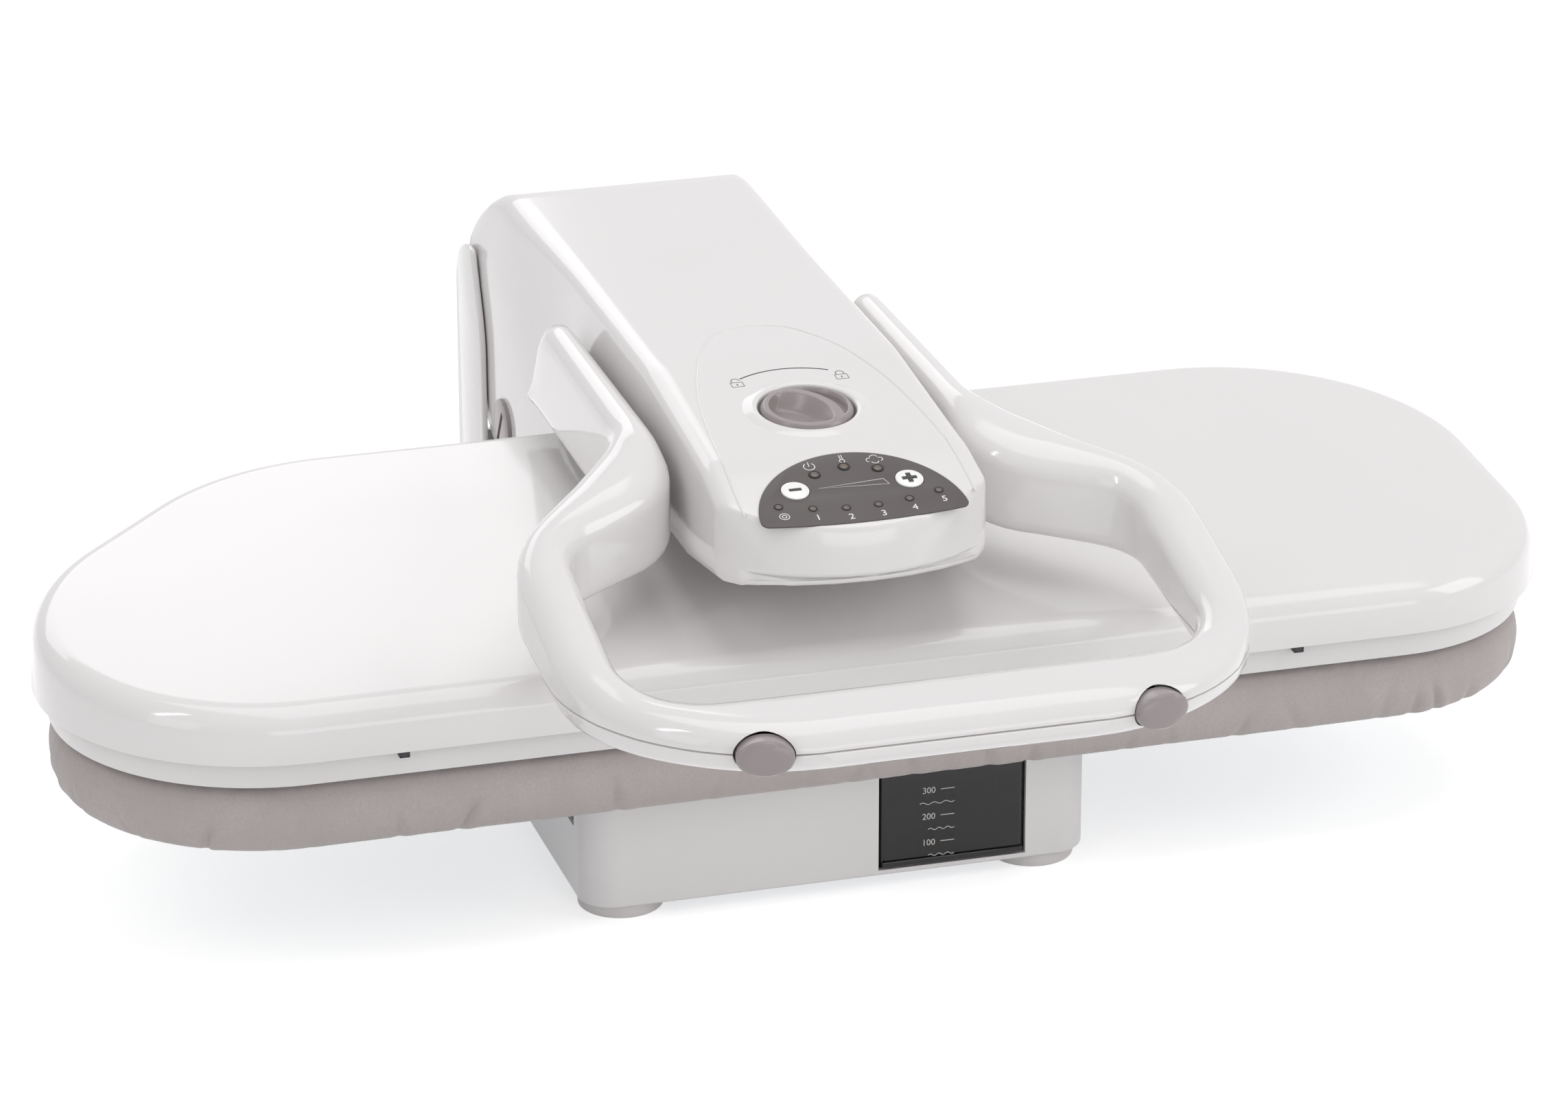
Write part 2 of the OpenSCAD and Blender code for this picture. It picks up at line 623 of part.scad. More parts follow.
module arm_underside() {
    color(white) difference() {
        intersection() {
            side_extrude(-arm_w, arm_w) polygon([[-nose_front + 5, arm_top - 45], [-74, arm_z + 0.4],
                [lid_rear + 2, arm_z + 0.4], [lid_rear + 2, arm_z + 0.4 + wall],
                [-74, arm_z + 0.4 + wall], [-nose_front + 5, arm_top - 45 + wall]]);
            translate([0, 0, arm_z - 10]) linear_extrude(80) arm_plan(arm_wall + rest);
            arm_section(arm_wall + underside_fit);
        }
        for (s = [-1, 1]) translate([s * pad_x, 0, 0])
            box(-cam_t/2 - 3, cam_t/2 + 3, cam_y - 11, cam_y + 11, arm_z - 1, arm_z + 5);
        for (y = sleeve_ys) rod_z(0, y, arm_z - 1, arm_z + 5, pin_d + 4);
        rod_z(inlet_x, inlet_y, arm_z - 1, arm_z + 5, hose_d + 8);
    }
    color(white) for (x = [-30, 30], y = [-50, 20]) rod_z(x, y, arm_z + 0.4 + wall, web_z, 7);
}
module hinge_bushes() {
    color("#B98A4E") for (s = [-1, 1]) difference() {
        union() {
            rod_x(hinge_y, hinge_z, s > 0 ? frame_x - 1.5 : -frame_x - frame_t - 1.5,
                s > 0 ? frame_x + frame_t + 1.5 : -frame_x + 1.5, bush_d);
            rod_x(hinge_y, hinge_z, s > 0 ? frame_x - 1.5 : -frame_x, s > 0 ? frame_x : -frame_x + 1.5, bush_d + 4);
        }
        rod_x(hinge_y, hinge_z, -60, 60, hinge_d + 2 * run_fit);
    }
}
function arm_half(z) = arm_top_w/2 + (arm_w/2 + 2.4 - arm_top_w/2) * (arm_top - z) / (arm_top - hinge_z + 20);
module hinge_caps() {
    x = min(arm_w/2, arm_half(hinge_z + cap_d/2));
    out = min(arm_w/2, arm_half(hinge_z - cap_d/2));
    color(grey) for (s = [0, 1]) mirror([s, 0, 0]) difference() {
        union() {
            rod_x(hinge_y, hinge_z, x - arm_wall - 3, out + 1.5, cap_d - 4);
            rod_x(hinge_y, hinge_z, out, out + 1.5, cap_d);
        }
        translate([0, hinge_y, hinge_z]) rotate([30, 0, 0]) box(out + 0.3, out + 3, -1.5, 1.5, -9, 9);
    }
}
module arm_union() {
    color("#C8A45C") difference() {
        union() {
            rod_x(hinge_y, hinge_z, rest/2, 2 * union_x, union_d);
            rod_z(union_x, hinge_y, hinge_z + hinge_d/2 + 1, hinge_z + union_d/2 + 4, 4.5);
        }
        rod_x(hinge_y, hinge_z, -20, 20, hinge_d + 2 * run_fit);
        rod_z(union_x, hinge_y, hinge_z + hinge_d/2 + 2, hinge_z + union_d/2 + 5, 2.5);
    }
}
module arm_hose() {
    color("#D9DDE0") {
        hose([[union_x, hinge_y, hinge_z + union_d/2 + 4], [union_x, hinge_y - 4, hinge_z + 38],
            [8, hinge_y - 20, arm_top - 26], [20, hinge_y - 44, arm_top - 20], [inlet_x, hinge_y - 70, arm_top - 19],
            [inlet_x, inlet_y + 26, arm_top - 19], [inlet_x, inlet_y + 10, arm_top - 22],
            [inlet_x, inlet_y + 2, arm_top - 30], [inlet_x, inlet_y, web_z + 8]], hose_d/2);
        rod_z(inlet_x, inlet_y, arm_z - 20, web_z + 8, hose_d - 2);
    }
}
sleeve_top = web_z + 17;
module guide_sleeves() {
    color("#B98A4E") for (y = sleeve_ys) difference() {
        union() {
            rod_z(0, y, web_z - 5, sleeve_top, pin_d + 6);
            rod_z(0, y, web_z + frame_t, web_z + frame_t + 2, pin_d + 12);
        }
        rod_z(0, y, web_z - 6, sleeve_top + 1, pin_d + 2 * run_fit);
    }
}
pin_top = arm_top - 15;
module return_springs() {
    color("#8C9096") for (y = sleeve_ys) difference() {
        rod_z(0, y, sleeve_top, pin_top - 2 - rest, pin_d + 5);
        rod_z(0, y, sleeve_top - 1, pin_top, pin_d + 1);
    }
}
board_n = -11;
switch_h = 3 - key_travel;
stem_n = board_n + switch_h + key_travel + rest;
board_w = 72;
board_d = 34;
board_v = 2;
module control_board() {
    color("#3F7D4E") on_panel() translate([-board_w/2, board_v - board_d/2, board_n - 1.6])
        cube([board_w, board_d, 1.6]);
    color(black) for (x = [-key_x, key_x]) on_panel(x, key_v)
        translate([-3, -3, board_n]) cube([6, 6, switch_h]);
    color(white) for (x = [-29, 29], v = [-11, 15]) on_panel(x, v)
        translate([0, 0, board_n]) cylinder(d = 4, h = -board_n - arm_wall);
}
module panel_overlay() {
    color(dark) on_panel() difference() {
        linear_extrude(0.5) intersection() {
            translate([0, -panel_r * 0.46]) circle(panel_r, $fn = 96);
            translate([0, 7 * panel_r - panel_r * 0.52]) circle(7 * panel_r, $fn = 240);
        }
        for (x = [-key_x, key_x]) translate([x, key_v, -1]) cylinder(d = key_d, h = 3);
        for (p = lamps) translate([p[0], p[1], -1]) cylinder(d = lamp_d, h = 3);
    }
}
module indicator_lamps() {
    color("#4A4444") for (p = lamps) on_panel(p[0], p[1]) translate([0, 0, board_n])
        cylinder(d = lamp_d - 0.2, h = 0.7 - board_n);
}
module wedge_mark() {
    color(white) on_panel() translate([0, key_v, 0.5]) linear_extrude(0.2)
        polygon([[-14, -0.7], [14, -1.6], [14, 1.6]]);
}
module knob_seat() {
    color("#DAD7D6") on_knob() difference() {
        union() {
            translate([0, 0, -8]) cylinder(d = seat_d - 0.4, h = 8);
            cylinder(d = seat_d + 4, h = 0.8);
            translate([0, 0, -16]) cylinder(d = 16, h = 9);
        }
        translate([0, 0, -5.5]) cylinder(d = knob_d + 2, h = 8);
        translate([0, 0, -17]) cylinder(d = 8 + 2 * run_fit, h = 14);
    }
}
knob_rise = 1.5;
ridge_at = [-14.8, -7];
ridge_r = 23.6;
module lock_knob() {
    color(grey) on_knob() difference() {
        translate([0, 0, -5]) cylinder(d = knob_d, h = 5 + knob_rise);
        translate([0, 0, knob_rise - 4]) linear_extrude(5) intersection() {
            circle(knob_d/2 - 4);
            translate(ridge_at) circle(ridge_r);
        }
        translate([0, 0, knob_rise - 1.5]) linear_extrude(3) difference() {
            circle(knob_d/2 - 2.5);
            translate(ridge_at) circle(ridge_r + 7);
        }
    }
}
module lock_tongue() {
    color(steel) on_knob() {
        translate([0, 0, -32]) cylinder(d = 8, h = 27);
        translate([0, 0, -32]) linear_extrude(4) {
            circle(d = 14);
            translate([0, -5]) square([18, 10]);
        }
    }
}
module key(x) {
    on_panel(x, key_v) {
        translate([0, 0, -4]) cylinder(d = key_d - 0.6, h = 5.3);
        translate([0, 0, stem_n]) cylinder(d = 4, h = -4 - stem_n);
        translate([0, 0, -5.6]) cylinder(d = key_d + 2, h = 1.6);
    }
}
module minus_key() {
    color("#F4F4F2") key(-key_x);
}
module plus_key() {
    color("#F4F4F2") key(key_x);
}

// Handle: a loop cut from its plan outline and its side profile
fin_in = arm_half(arm_z) + 1.6;
grip_z = rim_z + 30.5;
grip_corner_r = 88;
fin_back = lid_rear + 5;
parting_z = grip_z + grip_h/2 + 0.4;
elbow_x = handle_w/2;
handle_half = [[elbow_x, -handle_front, grip_corner_r], [elbow_x, -137, 53], [fin_in + fin_t + 3, -66, 43],
    [fin_in + fin_t, fin_back + 1, 4], [fin_in, fin_back + 1, 4], [fin_in, -102, 30],
    [elbow_x - 32.5, -178, 18], [elbow_x - 32.5, -handle_front + grip_d, 18]];
handle_profile = [[-handle_front, grip_z, 7], [-200, grip_z, 80], [-75, grip_z + 16.5, 80],
    [fin_back, grip_z + 16.5, 9], [fin_back - 29, arm_top - 10, 10], [-50, arm_top - 10, 50],
    [-225, grip_z + grip_h + 1, 60], [-handle_front, grip_z + grip_h, 7]];
module handle_solid(d) {
    intersection() {
        translate([0, 0, grip_z - 5]) linear_extrude(arm_rise)
            polygon(rounded(inset(concat(handle_half, mirrored(handle_half)), d)));
        side_extrude(-handle_w, handle_w) polygon(rounded(inset(handle_profile, d)));
    }
}
module handle_cavity() {
    intersection() {
        handle_solid(handle_wall);
        box(-handle_w, handle_w, -handle_front, -112, grip_z, arm_top);
    }
}
button_q = asin((button_x - elbow_x + grip_corner_r) / grip_corner_r);
button_y = -handle_front + grip_corner_r * (1 - cos(button_q));
module at_button(s) {
    translate([s * button_x, button_y, parting_z]) rotate([0, 0, s * button_q]) children();
}
module oval_y(w, h, y0, y1) {
    translate([0, y1, 0]) rotate([90, 0, 0]) linear_extrude(y1 - y0) {
        square([w - h, h], center = true);
        for (s = [-1, 1]) translate([s * (w - h)/2, 0]) circle(d = h);
    }
}
button_out = 1.6;
button_gap = 0.35;
module handle_upper() {
    color(white) difference() {
        union() {
            difference() {
                handle_solid(0);
                handle_cavity();
                box(-handle_w, handle_w, -handle_front - 1, fin_back + 5, 0, parting_z);
            }
            for (x = [-elbow_x + 16, elbow_x - 16]) rod_z(x, -190, parting_z, grip_z + grip_h + 2, 8);
        }
        rod_x(pivot_y, pivot_z, -fin_in - fin_t + 4, fin_in + fin_t - 4, cross_d);
        for (s = [-1, 1]) at_button(s)
            oval_y(button_w + 2 * button_gap, button_h + 2 * button_gap, -5, handle_wall + 3);
    }
}
module handle_lower() {
    color(white) difference() {
        intersection() {
            handle_solid(0);
            box(-handle_w, handle_w, -handle_front - 1, 0, 0, parting_z);
        }
        handle_cavity();
        for (s = [-1, 1]) at_button(s)
            oval_y(button_w + 2 * button_gap, button_h + 2 * button_gap, -5, handle_wall + 3);
    }
    color(white) for (x = [-elbow_x + 16, elbow_x - 16]) rod_z(x, -190, grip_z + 1, parting_z, 8);
}
module cross_shaft() {
    color("#D5D8DC") rod_x(pivot_y, pivot_z, -fin_in - fin_t + 4, fin_in + fin_t - 4, cross_d);
}
cam_q = 60;
cam_y = pivot_y - cam_throw * sin(cam_q);
cam_z = pivot_z - cam_throw * cos(cam_q);
pad_x = 34;
pad_top = cam_z - cam_r - cam_gap;
module press_cams() {
    color(steel) for (s = [-1, 1]) difference() {
        side_extrude(s * pad_x - cam_t/2, s * pad_x + cam_t/2) {
            translate([pivot_y, pivot_z]) circle(cam_r);
            translate([cam_y, cam_z]) circle(cam_r);
            translate([pivot_y, pivot_z]) rotate(270 - cam_q) translate([0, -cam_r]) square([cam_throw, 2 * cam_r]);
        }
        rod_x(pivot_y, pivot_z, -60, 60, cross_d);
    }
}
button_deep = 7;
switch_y = button_deep + button_travel + 0.5;
module button_switches() {
    color(black) for (s = [-1, 1]) at_button(s) {
        translate([-6, switch_y, -4]) cube([12, 7, 8]);
        translate([-2, switch_y + 1, grip_z + handle_wall - parting_z]) cube([4, 5, parting_z - grip_z - handle_wall]);
    }
}
module steam_button(s) {
    at_button(s) {
        oval_y(button_w, button_h, -button_out, button_deep);
        oval_y(button_w - 8, button_h - 4, button_deep - 1, button_deep);
    }
}
module steam_button_left() {
    color(grey) steam_button(-1);
}
module steam_button_right() {
    color(grey) steam_button(1);
}

// Platen: the lid cover, the band under its rim and the heated soleplate
function fine(d, z) = [for (p = rounded(inset(lid_shape, d), 12)) [p[0], p[1], z]];
function sloped(d, drop) = [for (p = rounded(inset(lid_shape, d), 12)) [p[0], p[1], lid_top(p[1]) - drop]];
draft = 1.5;
clip_x = 191;
clip_w = 12;
module lid_cover() {
    inner_r = lid_edge_r - wall;
    color(white) difference() {
        loft([fine(0, rim_z), for (q = [0:15:90])
            sloped(draft + lid_edge_r * (1 - cos(q)), lid_edge_r * (1 - sin(q)))]);
        loft([fine(wall, rim_z - 1), for (q = [0:30:90])
            sloped(wall + draft + inner_r * (1 - cos(q)), wall + inner_r * (1 - sin(q)))]);
        for (s = [-1, 1]) {
            box(s * pad_x - cam_t/2 - 2, s * pad_x + cam_t/2 + 2, cam_y - 9, cam_y + 9, rim_z + 5, arm_z);
            box(s * clip_x - clip_w/2, s * clip_x + clip_w/2, -lid_front - 1, -lid_front + wall + 1,
                rim_z - 1, rim_z + 3);
        }
        for (y = sleeve_ys) rod_z(0, y, rim_z + 5, arm_z, pin_d + 3);
        rod_z(inlet_x, inlet_y, rim_z + 5, arm_z, hose_d + 6);
    }
}
module platen_casing() {
    color(white) difference() {
        union() {
            translate([0, 0, sole_z + 0.7]) linear_extrude(band_h) polygon(rounded(inset(lid_shape, band_inset), 12));
            translate([0, 0, rim_z]) linear_extrude(1.5) polygon(rounded(inset(lid_shape, wall + 0.5), 12));
        }
        translate([0, 0, sole_z]) linear_extrude(sole_t + rest)
            polygon(rounded(inset(lid_shape, band_inset + wall), 12));
        translate([0, 0, sole_z]) linear_extrude(40) polygon(rounded(inset(lid_shape, band_inset + 16), 12));
    }
    color(grey) for (s = [-1, 1]) box(s * clip_x - clip_w/2 + 0.5, s * clip_x + clip_w/2 - 0.5,
        -lid_front + 0.3, -lid_front + wall + 0.6, rim_z, rim_z + 2.5);
}
sole_inset = band_inset + wall + 2;
rows = [-95, -45, -5, 35, 85];
module soleplate() {
    color("#C9CBCD") difference() {
        translate([0, 0, sole_z]) linear_extrude(sole_t) polygon(rounded(inset(lid_shape, sole_inset), 12));
        for (y = rows, i = [0:steam_cols - 1])
            rod_z((i - (steam_cols - 1)/2) * 0.75 * lid_w / (steam_cols - 1), y, sole_z - 1, sole_top + 1, steam_hole_d);
    }
}
heater_front = -70;
heater_back = 52;
heater_x = lid_w/2 - 115;
heater_z = sole_top + heater_d/2;
module heating_tube() {
    mid = (heater_front + heater_back)/2;
    bend = (heater_back - heater_front)/2;
    color("#7F8084") {
        rod_x(heater_back, heater_z, -heater_x, heater_x, heater_d);
        for (s = [-1, 1]) {
            rod_x(heater_front, heater_z, s > 0 ? 22 : -heater_x, s > 0 ? heater_x : -22, heater_d);
            translate([s * heater_x, mid, heater_z]) rotate([0, 0, s > 0 ? -90 : 90])
                rotate_extrude(angle = 180) translate([bend, 0]) circle(d = heater_d);
        }
    }
}
module thermostat() {
    color(black) rod_z(0, -28, sole_top, sole_top + 10, 26);
    color(steel) for (x = [-8, 8]) box(x - 2, x + 2, -30, -26, sole_top + 10, sole_top + 14);
}
yoke_z = rim_z + 11;
posts = [for (s = [-1, 1], y = [-8, 26]) [s * (heater_x - 15), y]];
module insulation() {
    color("#D9C77E") difference() {
        translate([0, 0, heater_z + heater_d/2]) linear_extrude(yoke_z - heater_z - heater_d/2)
            polygon(rounded(inset(lid_shape, band_inset + 24), 12));
        for (p = posts) rod_z(p[0], p[1], sole_top, yoke_z + 1, 14);
        rod_z(0, -28, sole_top, yoke_z + 1, 30);
        rod_z(inlet_x, inlet_y, sole_top, yoke_z + 1, hose_d + 6);
    }
}
module press_yoke() {
    color(steel) difference() {
        union() {
            box(-heater_x, heater_x, -24, 42, yoke_z, yoke_z + 3);
            box(-pad_x - 8, pad_x + 8, 41, min(cam_y + 8, lid_rear - 8), yoke_z, yoke_z + 3);
            for (s = [-1, 1])
                box(s * pad_x - cam_t/2 - 0.5, s * pad_x + cam_t/2 + 0.5, cam_y - 7, cam_y + 7, yoke_z, pad_top);
            for (p = posts) rod_z(p[0], p[1], sole_top, yoke_z, 12);
        }
        rod_z(inlet_x, inlet_y, yoke_z - 1, yoke_z + 4, hose_d + 6);
        rod_z(0, -28, yoke_z - 1, yoke_z + 4, 26);
    }
}
module guide_pins() {
    color("#D5D8DC") for (y = sleeve_ys) {
        rod_z(0, y, yoke_z + 3, pin_top, pin_d);
        rod_z(0, y, yoke_z + 3, yoke_z + 8, pin_d + 6);
        rod_z(0, y, pin_top - 2, pin_top, pin_d + 6);
    }
}
module water_inlet() {
    color(black) difference() {
        union() {
            rod_z(inlet_x, inlet_y, sole_top, arm_z - 3, hose_d + 3);
            rod_z(inlet_x, inlet_y, sole_top, sole_top + 3, hose_d + 10);
        }
        rod_z(inlet_x, inlet_y, arm_z - 28, arm_z, hose_d - 2 + 2 * run_fit);
        rod_z(inlet_x, inlet_y, sole_top - 1, arm_z - 20, 2.5);
    }
}

base_housing();
base_plate();
rubber_feet();
base_screws();
rear_column();
cord_gland();
hinge_bracket();
hinge_shaft();
lifting_springs();
board_pan();
foam_pad();
cloth_cover();
tank_coupling();
water_pump();
feed_hose();
pressure_hose();
water_union();
power_board();
water_tank();
tank_cap();
tank_filter();
tank_valve();
arm_cover();
arm_frame();
arm_underside();
hinge_bushes();
hinge_caps();
arm_union();
arm_hose();
guide_sleeves();
return_springs();
control_board();
panel_overlay();
indicator_lamps();
wedge_mark();
knob_seat();
lock_knob();
lock_tongue();
minus_key();
plus_key();
handle_upper();
handle_lower();
cross_shaft();
press_cams();
button_switches();
steam_button_left();
steam_button_right();
lid_cover();
platen_casing();
soleplate();
heating_tube();
thermostat();
insulation();
press_yoke();
guide_pins();
water_inlet();
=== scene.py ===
import math
import random

import bmesh
import bpy
from mathutils import Matrix, Vector


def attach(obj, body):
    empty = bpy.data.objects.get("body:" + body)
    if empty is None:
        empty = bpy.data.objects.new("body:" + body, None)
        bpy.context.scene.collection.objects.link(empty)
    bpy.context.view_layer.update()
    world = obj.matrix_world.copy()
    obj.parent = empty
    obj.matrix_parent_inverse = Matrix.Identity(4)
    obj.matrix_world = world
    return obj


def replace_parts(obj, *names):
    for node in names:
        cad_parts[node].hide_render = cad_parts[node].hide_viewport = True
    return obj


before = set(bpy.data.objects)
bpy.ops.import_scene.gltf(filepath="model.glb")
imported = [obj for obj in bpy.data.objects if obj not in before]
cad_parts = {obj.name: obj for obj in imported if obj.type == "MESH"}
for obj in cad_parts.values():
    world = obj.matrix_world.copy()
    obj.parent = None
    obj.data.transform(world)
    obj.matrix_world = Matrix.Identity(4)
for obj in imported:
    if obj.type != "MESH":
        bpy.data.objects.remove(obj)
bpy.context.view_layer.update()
mm = 0.001
greyTone = "#9A9191"


# small helpers

def clearSelection():
    for thing in list(bpy.context.selected_objects):
        thing.select_set(False)


def activate(piece):
    clearSelection()
    piece.select_set(True)
    bpy.context.view_layer.objects.active = piece


def named(name):
    piece = bpy.context.object
    piece.name = name
    piece.data.name = name
    return piece


def settle(piece):  # place, turn and size go into the mesh
    activate(piece)
    bpy.ops.object.transform_apply(location=True, rotation=True, scale=True)
    return piece


def startEdit(piece, mode="VERT"):
    activate(piece)
    bpy.ops.object.mode_set(mode="EDIT")
    bpy.ops.mesh.select_mode(type=mode)
    bpy.ops.mesh.select_all(action="SELECT")


def endEdit():
    bpy.ops.object.mode_set(mode="OBJECT")


def pick(piece, mode, test):
    bpy.ops.mesh.select_mode(type=mode)
    bpy.ops.mesh.select_all(action="DESELECT")
    net = bmesh.from_edit_mesh(piece.data)
    parts = {"VERT": net.verts, "EDGE": net.edges, "FACE": net.faces}[mode]
    for part in parts:
        if test(part):
            part.select_set(True)
    net.select_flush_mode()
    bmesh.update_edit_mesh(piece.data)


def deleteFaces(piece, test):
    startEdit(piece, "FACE")
    pick(piece, "FACE", test)
    bpy.ops.mesh.delete(type="FACE")
    endEdit()


def stepIn(piece, test, steps):  # each step insets the picked face and then moves it
    startEdit(piece, "FACE")
    pick(piece, "FACE", test)
    for inset, shift in steps:
        bpy.ops.mesh.inset(thickness=inset * mm)
        bpy.ops.transform.translate(value=tuple(part * mm for part in shift))
    endEdit()


def fixNormals(piece):
    startEdit(piece)
    bpy.ops.mesh.remove_doubles(threshold=0.00002)
    bpy.ops.mesh.normals_make_consistent(inside=False)
    endEdit()


def applyModifier(piece, kind, **settings):
    activate(piece)
    modifier = piece.modifiers.new(kind.title(), kind)
    for key, value in settings.items():
        setattr(modifier, key, value)
    bpy.ops.object.modifier_apply(modifier=modifier.name)


def roundEdges(piece, width, segments, angle=30):
    applyModifier(piece, "BEVEL", width=width * mm, segments=segments, limit_method="ANGLE",
                  angle_limit=math.radians(angle), harden_normals=False, miter_outer="MITER_ARC")


def cutAway(piece, cutter):
    applyModifier(piece, "BOOLEAN", operation="DIFFERENCE", object=cutter, solver="EXACT")
    bpy.data.objects.remove(cutter, do_unlink=True)


def joinPieces(pieces, name):
    clearSelection()
    for piece in pieces:
        piece.select_set(True)
    bpy.context.view_layer.objects.active = pieces[0]
    bpy.ops.object.join()
    return named(name)


def placeOn(piece, matrix):  # moves, turns, scales or flips the mesh
    piece.data.transform(matrix)
    return piece


def copyPiece(piece, name, shift=(0, 0, 0)):
    twin = piece.copy()
    twin.data = piece.data.copy()
    twin.name = twin.data.name = name
    bpy.context.scene.collection.objects.link(twin)
    return placeOn(twin, Matrix.Translation(Vector(shift) * mm))


def mirrorX(piece, name):
    twin = placeOn(copyPiece(piece, name), Matrix.Diagonal((-1, 1, 1, 1)))
    fixNormals(twin)
    return twin


def dress(piece, body, material, nodes=(), smooth=35):
    activate(piece)
    if smooth:
        bpy.ops.object.shade_smooth_by_angle(angle=math.radians(smooth))
    piece.data.materials.clear()
    piece.data.materials.append(material)
    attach(piece, body)
    if nodes:
        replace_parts(piece, *nodes)
    return piece


# outlines

def unit(a, b):
    return (Vector(b) - Vector(a)).normalized()


def cornerTurns(corners):  # each corner's place and radius, with the directions into and out of it
    spots = [Vector(corner[:2]) for corner in corners]
    for i, here in enumerate(spots):
        yield here, corners[i][2], unit(spots[i - 1], here), unit(here, spots[(i + 1) % len(spots)])


def insetCorners(corners, depth):  # a counter-clockwise outline moved inwards
    moved = []
    for here, radius, u, w in cornerTurns(corners):
        inU, inW = Vector((-u.y, u.x)), Vector((-w.y, w.x))
        turn = u.x * w.y - u.y * w.x
        side = (inU + inW) / (1 + inU.dot(inW)) * depth
        radius += -depth if turn > 0 else depth
        moved.append((here.x + side.x, here.y + side.y, max(radius, 0.5)))
    return moved


def roundedOutline(corners, steps=12):
    points = []
    for here, radius, u, w in cornerTurns(corners):
        turn = math.atan2(u.x * w.y - u.y * w.x, u.dot(w))
        side = Vector((-u.y, u.x)) * math.copysign(radius, turn)
        start = here - u * radius * math.tan(abs(turn) / 2)
        middle = start + side
        for k in range(steps + 1):
            points.append(middle + Matrix.Rotation(turn * k / steps, 2) @ -side)
    return points


def openPath(corners, steps):  # rounds the middle corners of an open line
    points = [Vector(corners[0][:2])]
    padded = [tuple(c) + (0,) if len(c) == 2 else tuple(c) for c in corners]
    closed = roundedOutline(padded, steps)
    per = steps + 1
    for i in range(1, len(corners) - 1):
        points += closed[i * per:(i + 1) * per]
    points.append(Vector(corners[-1][:2]))
    return points


def flatPlate(name, points):  # one face through the given points, in mm
    bpy.ops.mesh.primitive_circle_add(vertices=len(points), radius=0.1, fill_type="NGON")
    plate = named(name)
    for vertex, point in zip(plate.data.vertices, points):
        vertex.co = Vector(point) * mm
    return plate


def roundedPlate(name, corners, place, steps):
    plate = flatPlate(name, [place(a, b) for a, b, radius in corners])
    for here, radius, u, w in cornerTurns(corners):
        reach = radius / math.tan(math.acos(max(-1, min(1, -u.dot(w)))) / 2)
        spot = Vector(place(*here)) * mm
        startEdit(plate)
        pick(plate, "VERT", lambda v: (v.co - spot).length < 1e-5)
        bpy.ops.mesh.bevel(offset=reach * mm, segments=steps, affect="VERTICES")
        endEdit()
    return plate


def thicken(plate, shift):
    startEdit(plate, "FACE")
    bpy.ops.mesh.extrude_region_move(TRANSFORM_OT_translate={"value": Vector(shift) * mm})
    endEdit()
    fixNormals(plate)
    return plate


def block(name, low, high, bevel=0.0):
    low, high = Vector(low), Vector(high)
    bpy.ops.mesh.primitive_cube_add(size=1, location=(low + high) / 2 * mm, scale=(high - low) * mm)
    piece = settle(named(name))
    if bevel:
        roundEdges(piece, bevel, 2)
    return piece


def drum(name, centre, radius, depth, axis="Z", sides=48):
    turn = {"X": (0, math.pi / 2, 0), "Y": (-math.pi / 2, 0, 0), "Z": (0, 0, 0)}[axis]
    bpy.ops.mesh.primitive_cylinder_add(vertices=sides, radius=radius * mm, depth=depth * mm,
                                        location=Vector(centre) * mm, rotation=turn)
    return settle(named(name))


def loftRings(name, rings):  # the end face is pulled out ring by ring
    piece = flatPlate(name, rings[0])
    startEdit(piece, "FACE")
    net = bmesh.from_edit_mesh(piece.data)
    order = {tuple(v.co): i for i, v in enumerate(net.verts)}
    for ring in rings[1:]:
        bpy.ops.mesh.extrude_region_move()
        net = bmesh.from_edit_mesh(piece.data)
        fresh = [(order[tuple(v.co)], v) for v in net.verts if v.select]
        order = {}
        for i, vertex in fresh:
            vertex.co = Vector(ring[i]) * mm
            order[tuple(vertex.co)] = i
        bmesh.update_edit_mesh(piece.data)
    endEdit()
    fixNormals(piece)
    return piece


def resample(points, count):  # evenly spaced points along a line
    walk = [0.0]
    for a, b in zip(points, points[1:]):
        walk.append(walk[-1] + (b - a).length)
    found = []
    for k in range(count):
        s = walk[-1] * k / (count - 1)
        i = max(j for j in range(len(walk)) if walk[j] <= s + 1e-9)
        i = min(i, len(points) - 2)
        found.append(points[i].lerp(points[i + 1], (s - walk[i]) / max(1e-9, walk[i + 1] - walk[i])))
    return found


def smin(a, b, soft):  # the lower of two values, blended where they meet
    h = max(0.0, min(1.0, 0.5 + 0.5 * (b - a) / soft))
    return b * (1 - h) + a * h - soft * h * (1 - h)


def ease(a, b, t):
    t = max(0.0, min(1.0, (t - a) / (b - a)))
    return t * t * (3 - 2 * t)


def roundIn(near, radius):  # how far a quarter round steps back this near to its end
    if near >= radius:
        return 0.0
    return radius - math.sqrt(max(0.0, radius ** 2 - (radius - near) ** 2))


def tilted(place, angle):  # a place in mm, leaned back about the x axis
    return Matrix.Translation(Vector(place) * mm) @ Matrix.Rotation(math.radians(angle), 4, "X")


# materials

def hexColour(text):
    parts = [int(text[i:i + 2], 16) / 255 for i in (1, 3, 5)]
    return tuple(p / 12.92 if p <= 0.04045 else ((p + 0.055) / 1.055) ** 2.4 for p in parts) + (1.0,)


def addNode(tree, kind, inputs=None, **settings):
    node = tree.nodes.new("ShaderNode" + kind)
    for key, value in settings.items():
        setattr(node, key, value)
    for key, value in (inputs or {}).items():
        if isinstance(value, bpy.types.NodeSocket):
            tree.links.new(value, node.inputs[key])
        else:
            node.inputs[key].default_value = value
    return node


def newMaterial(name):
    material = bpy.data.materials.new(name)
    material.use_nodes = True
    material.node_tree.nodes.clear()
    return material, material.node_tree


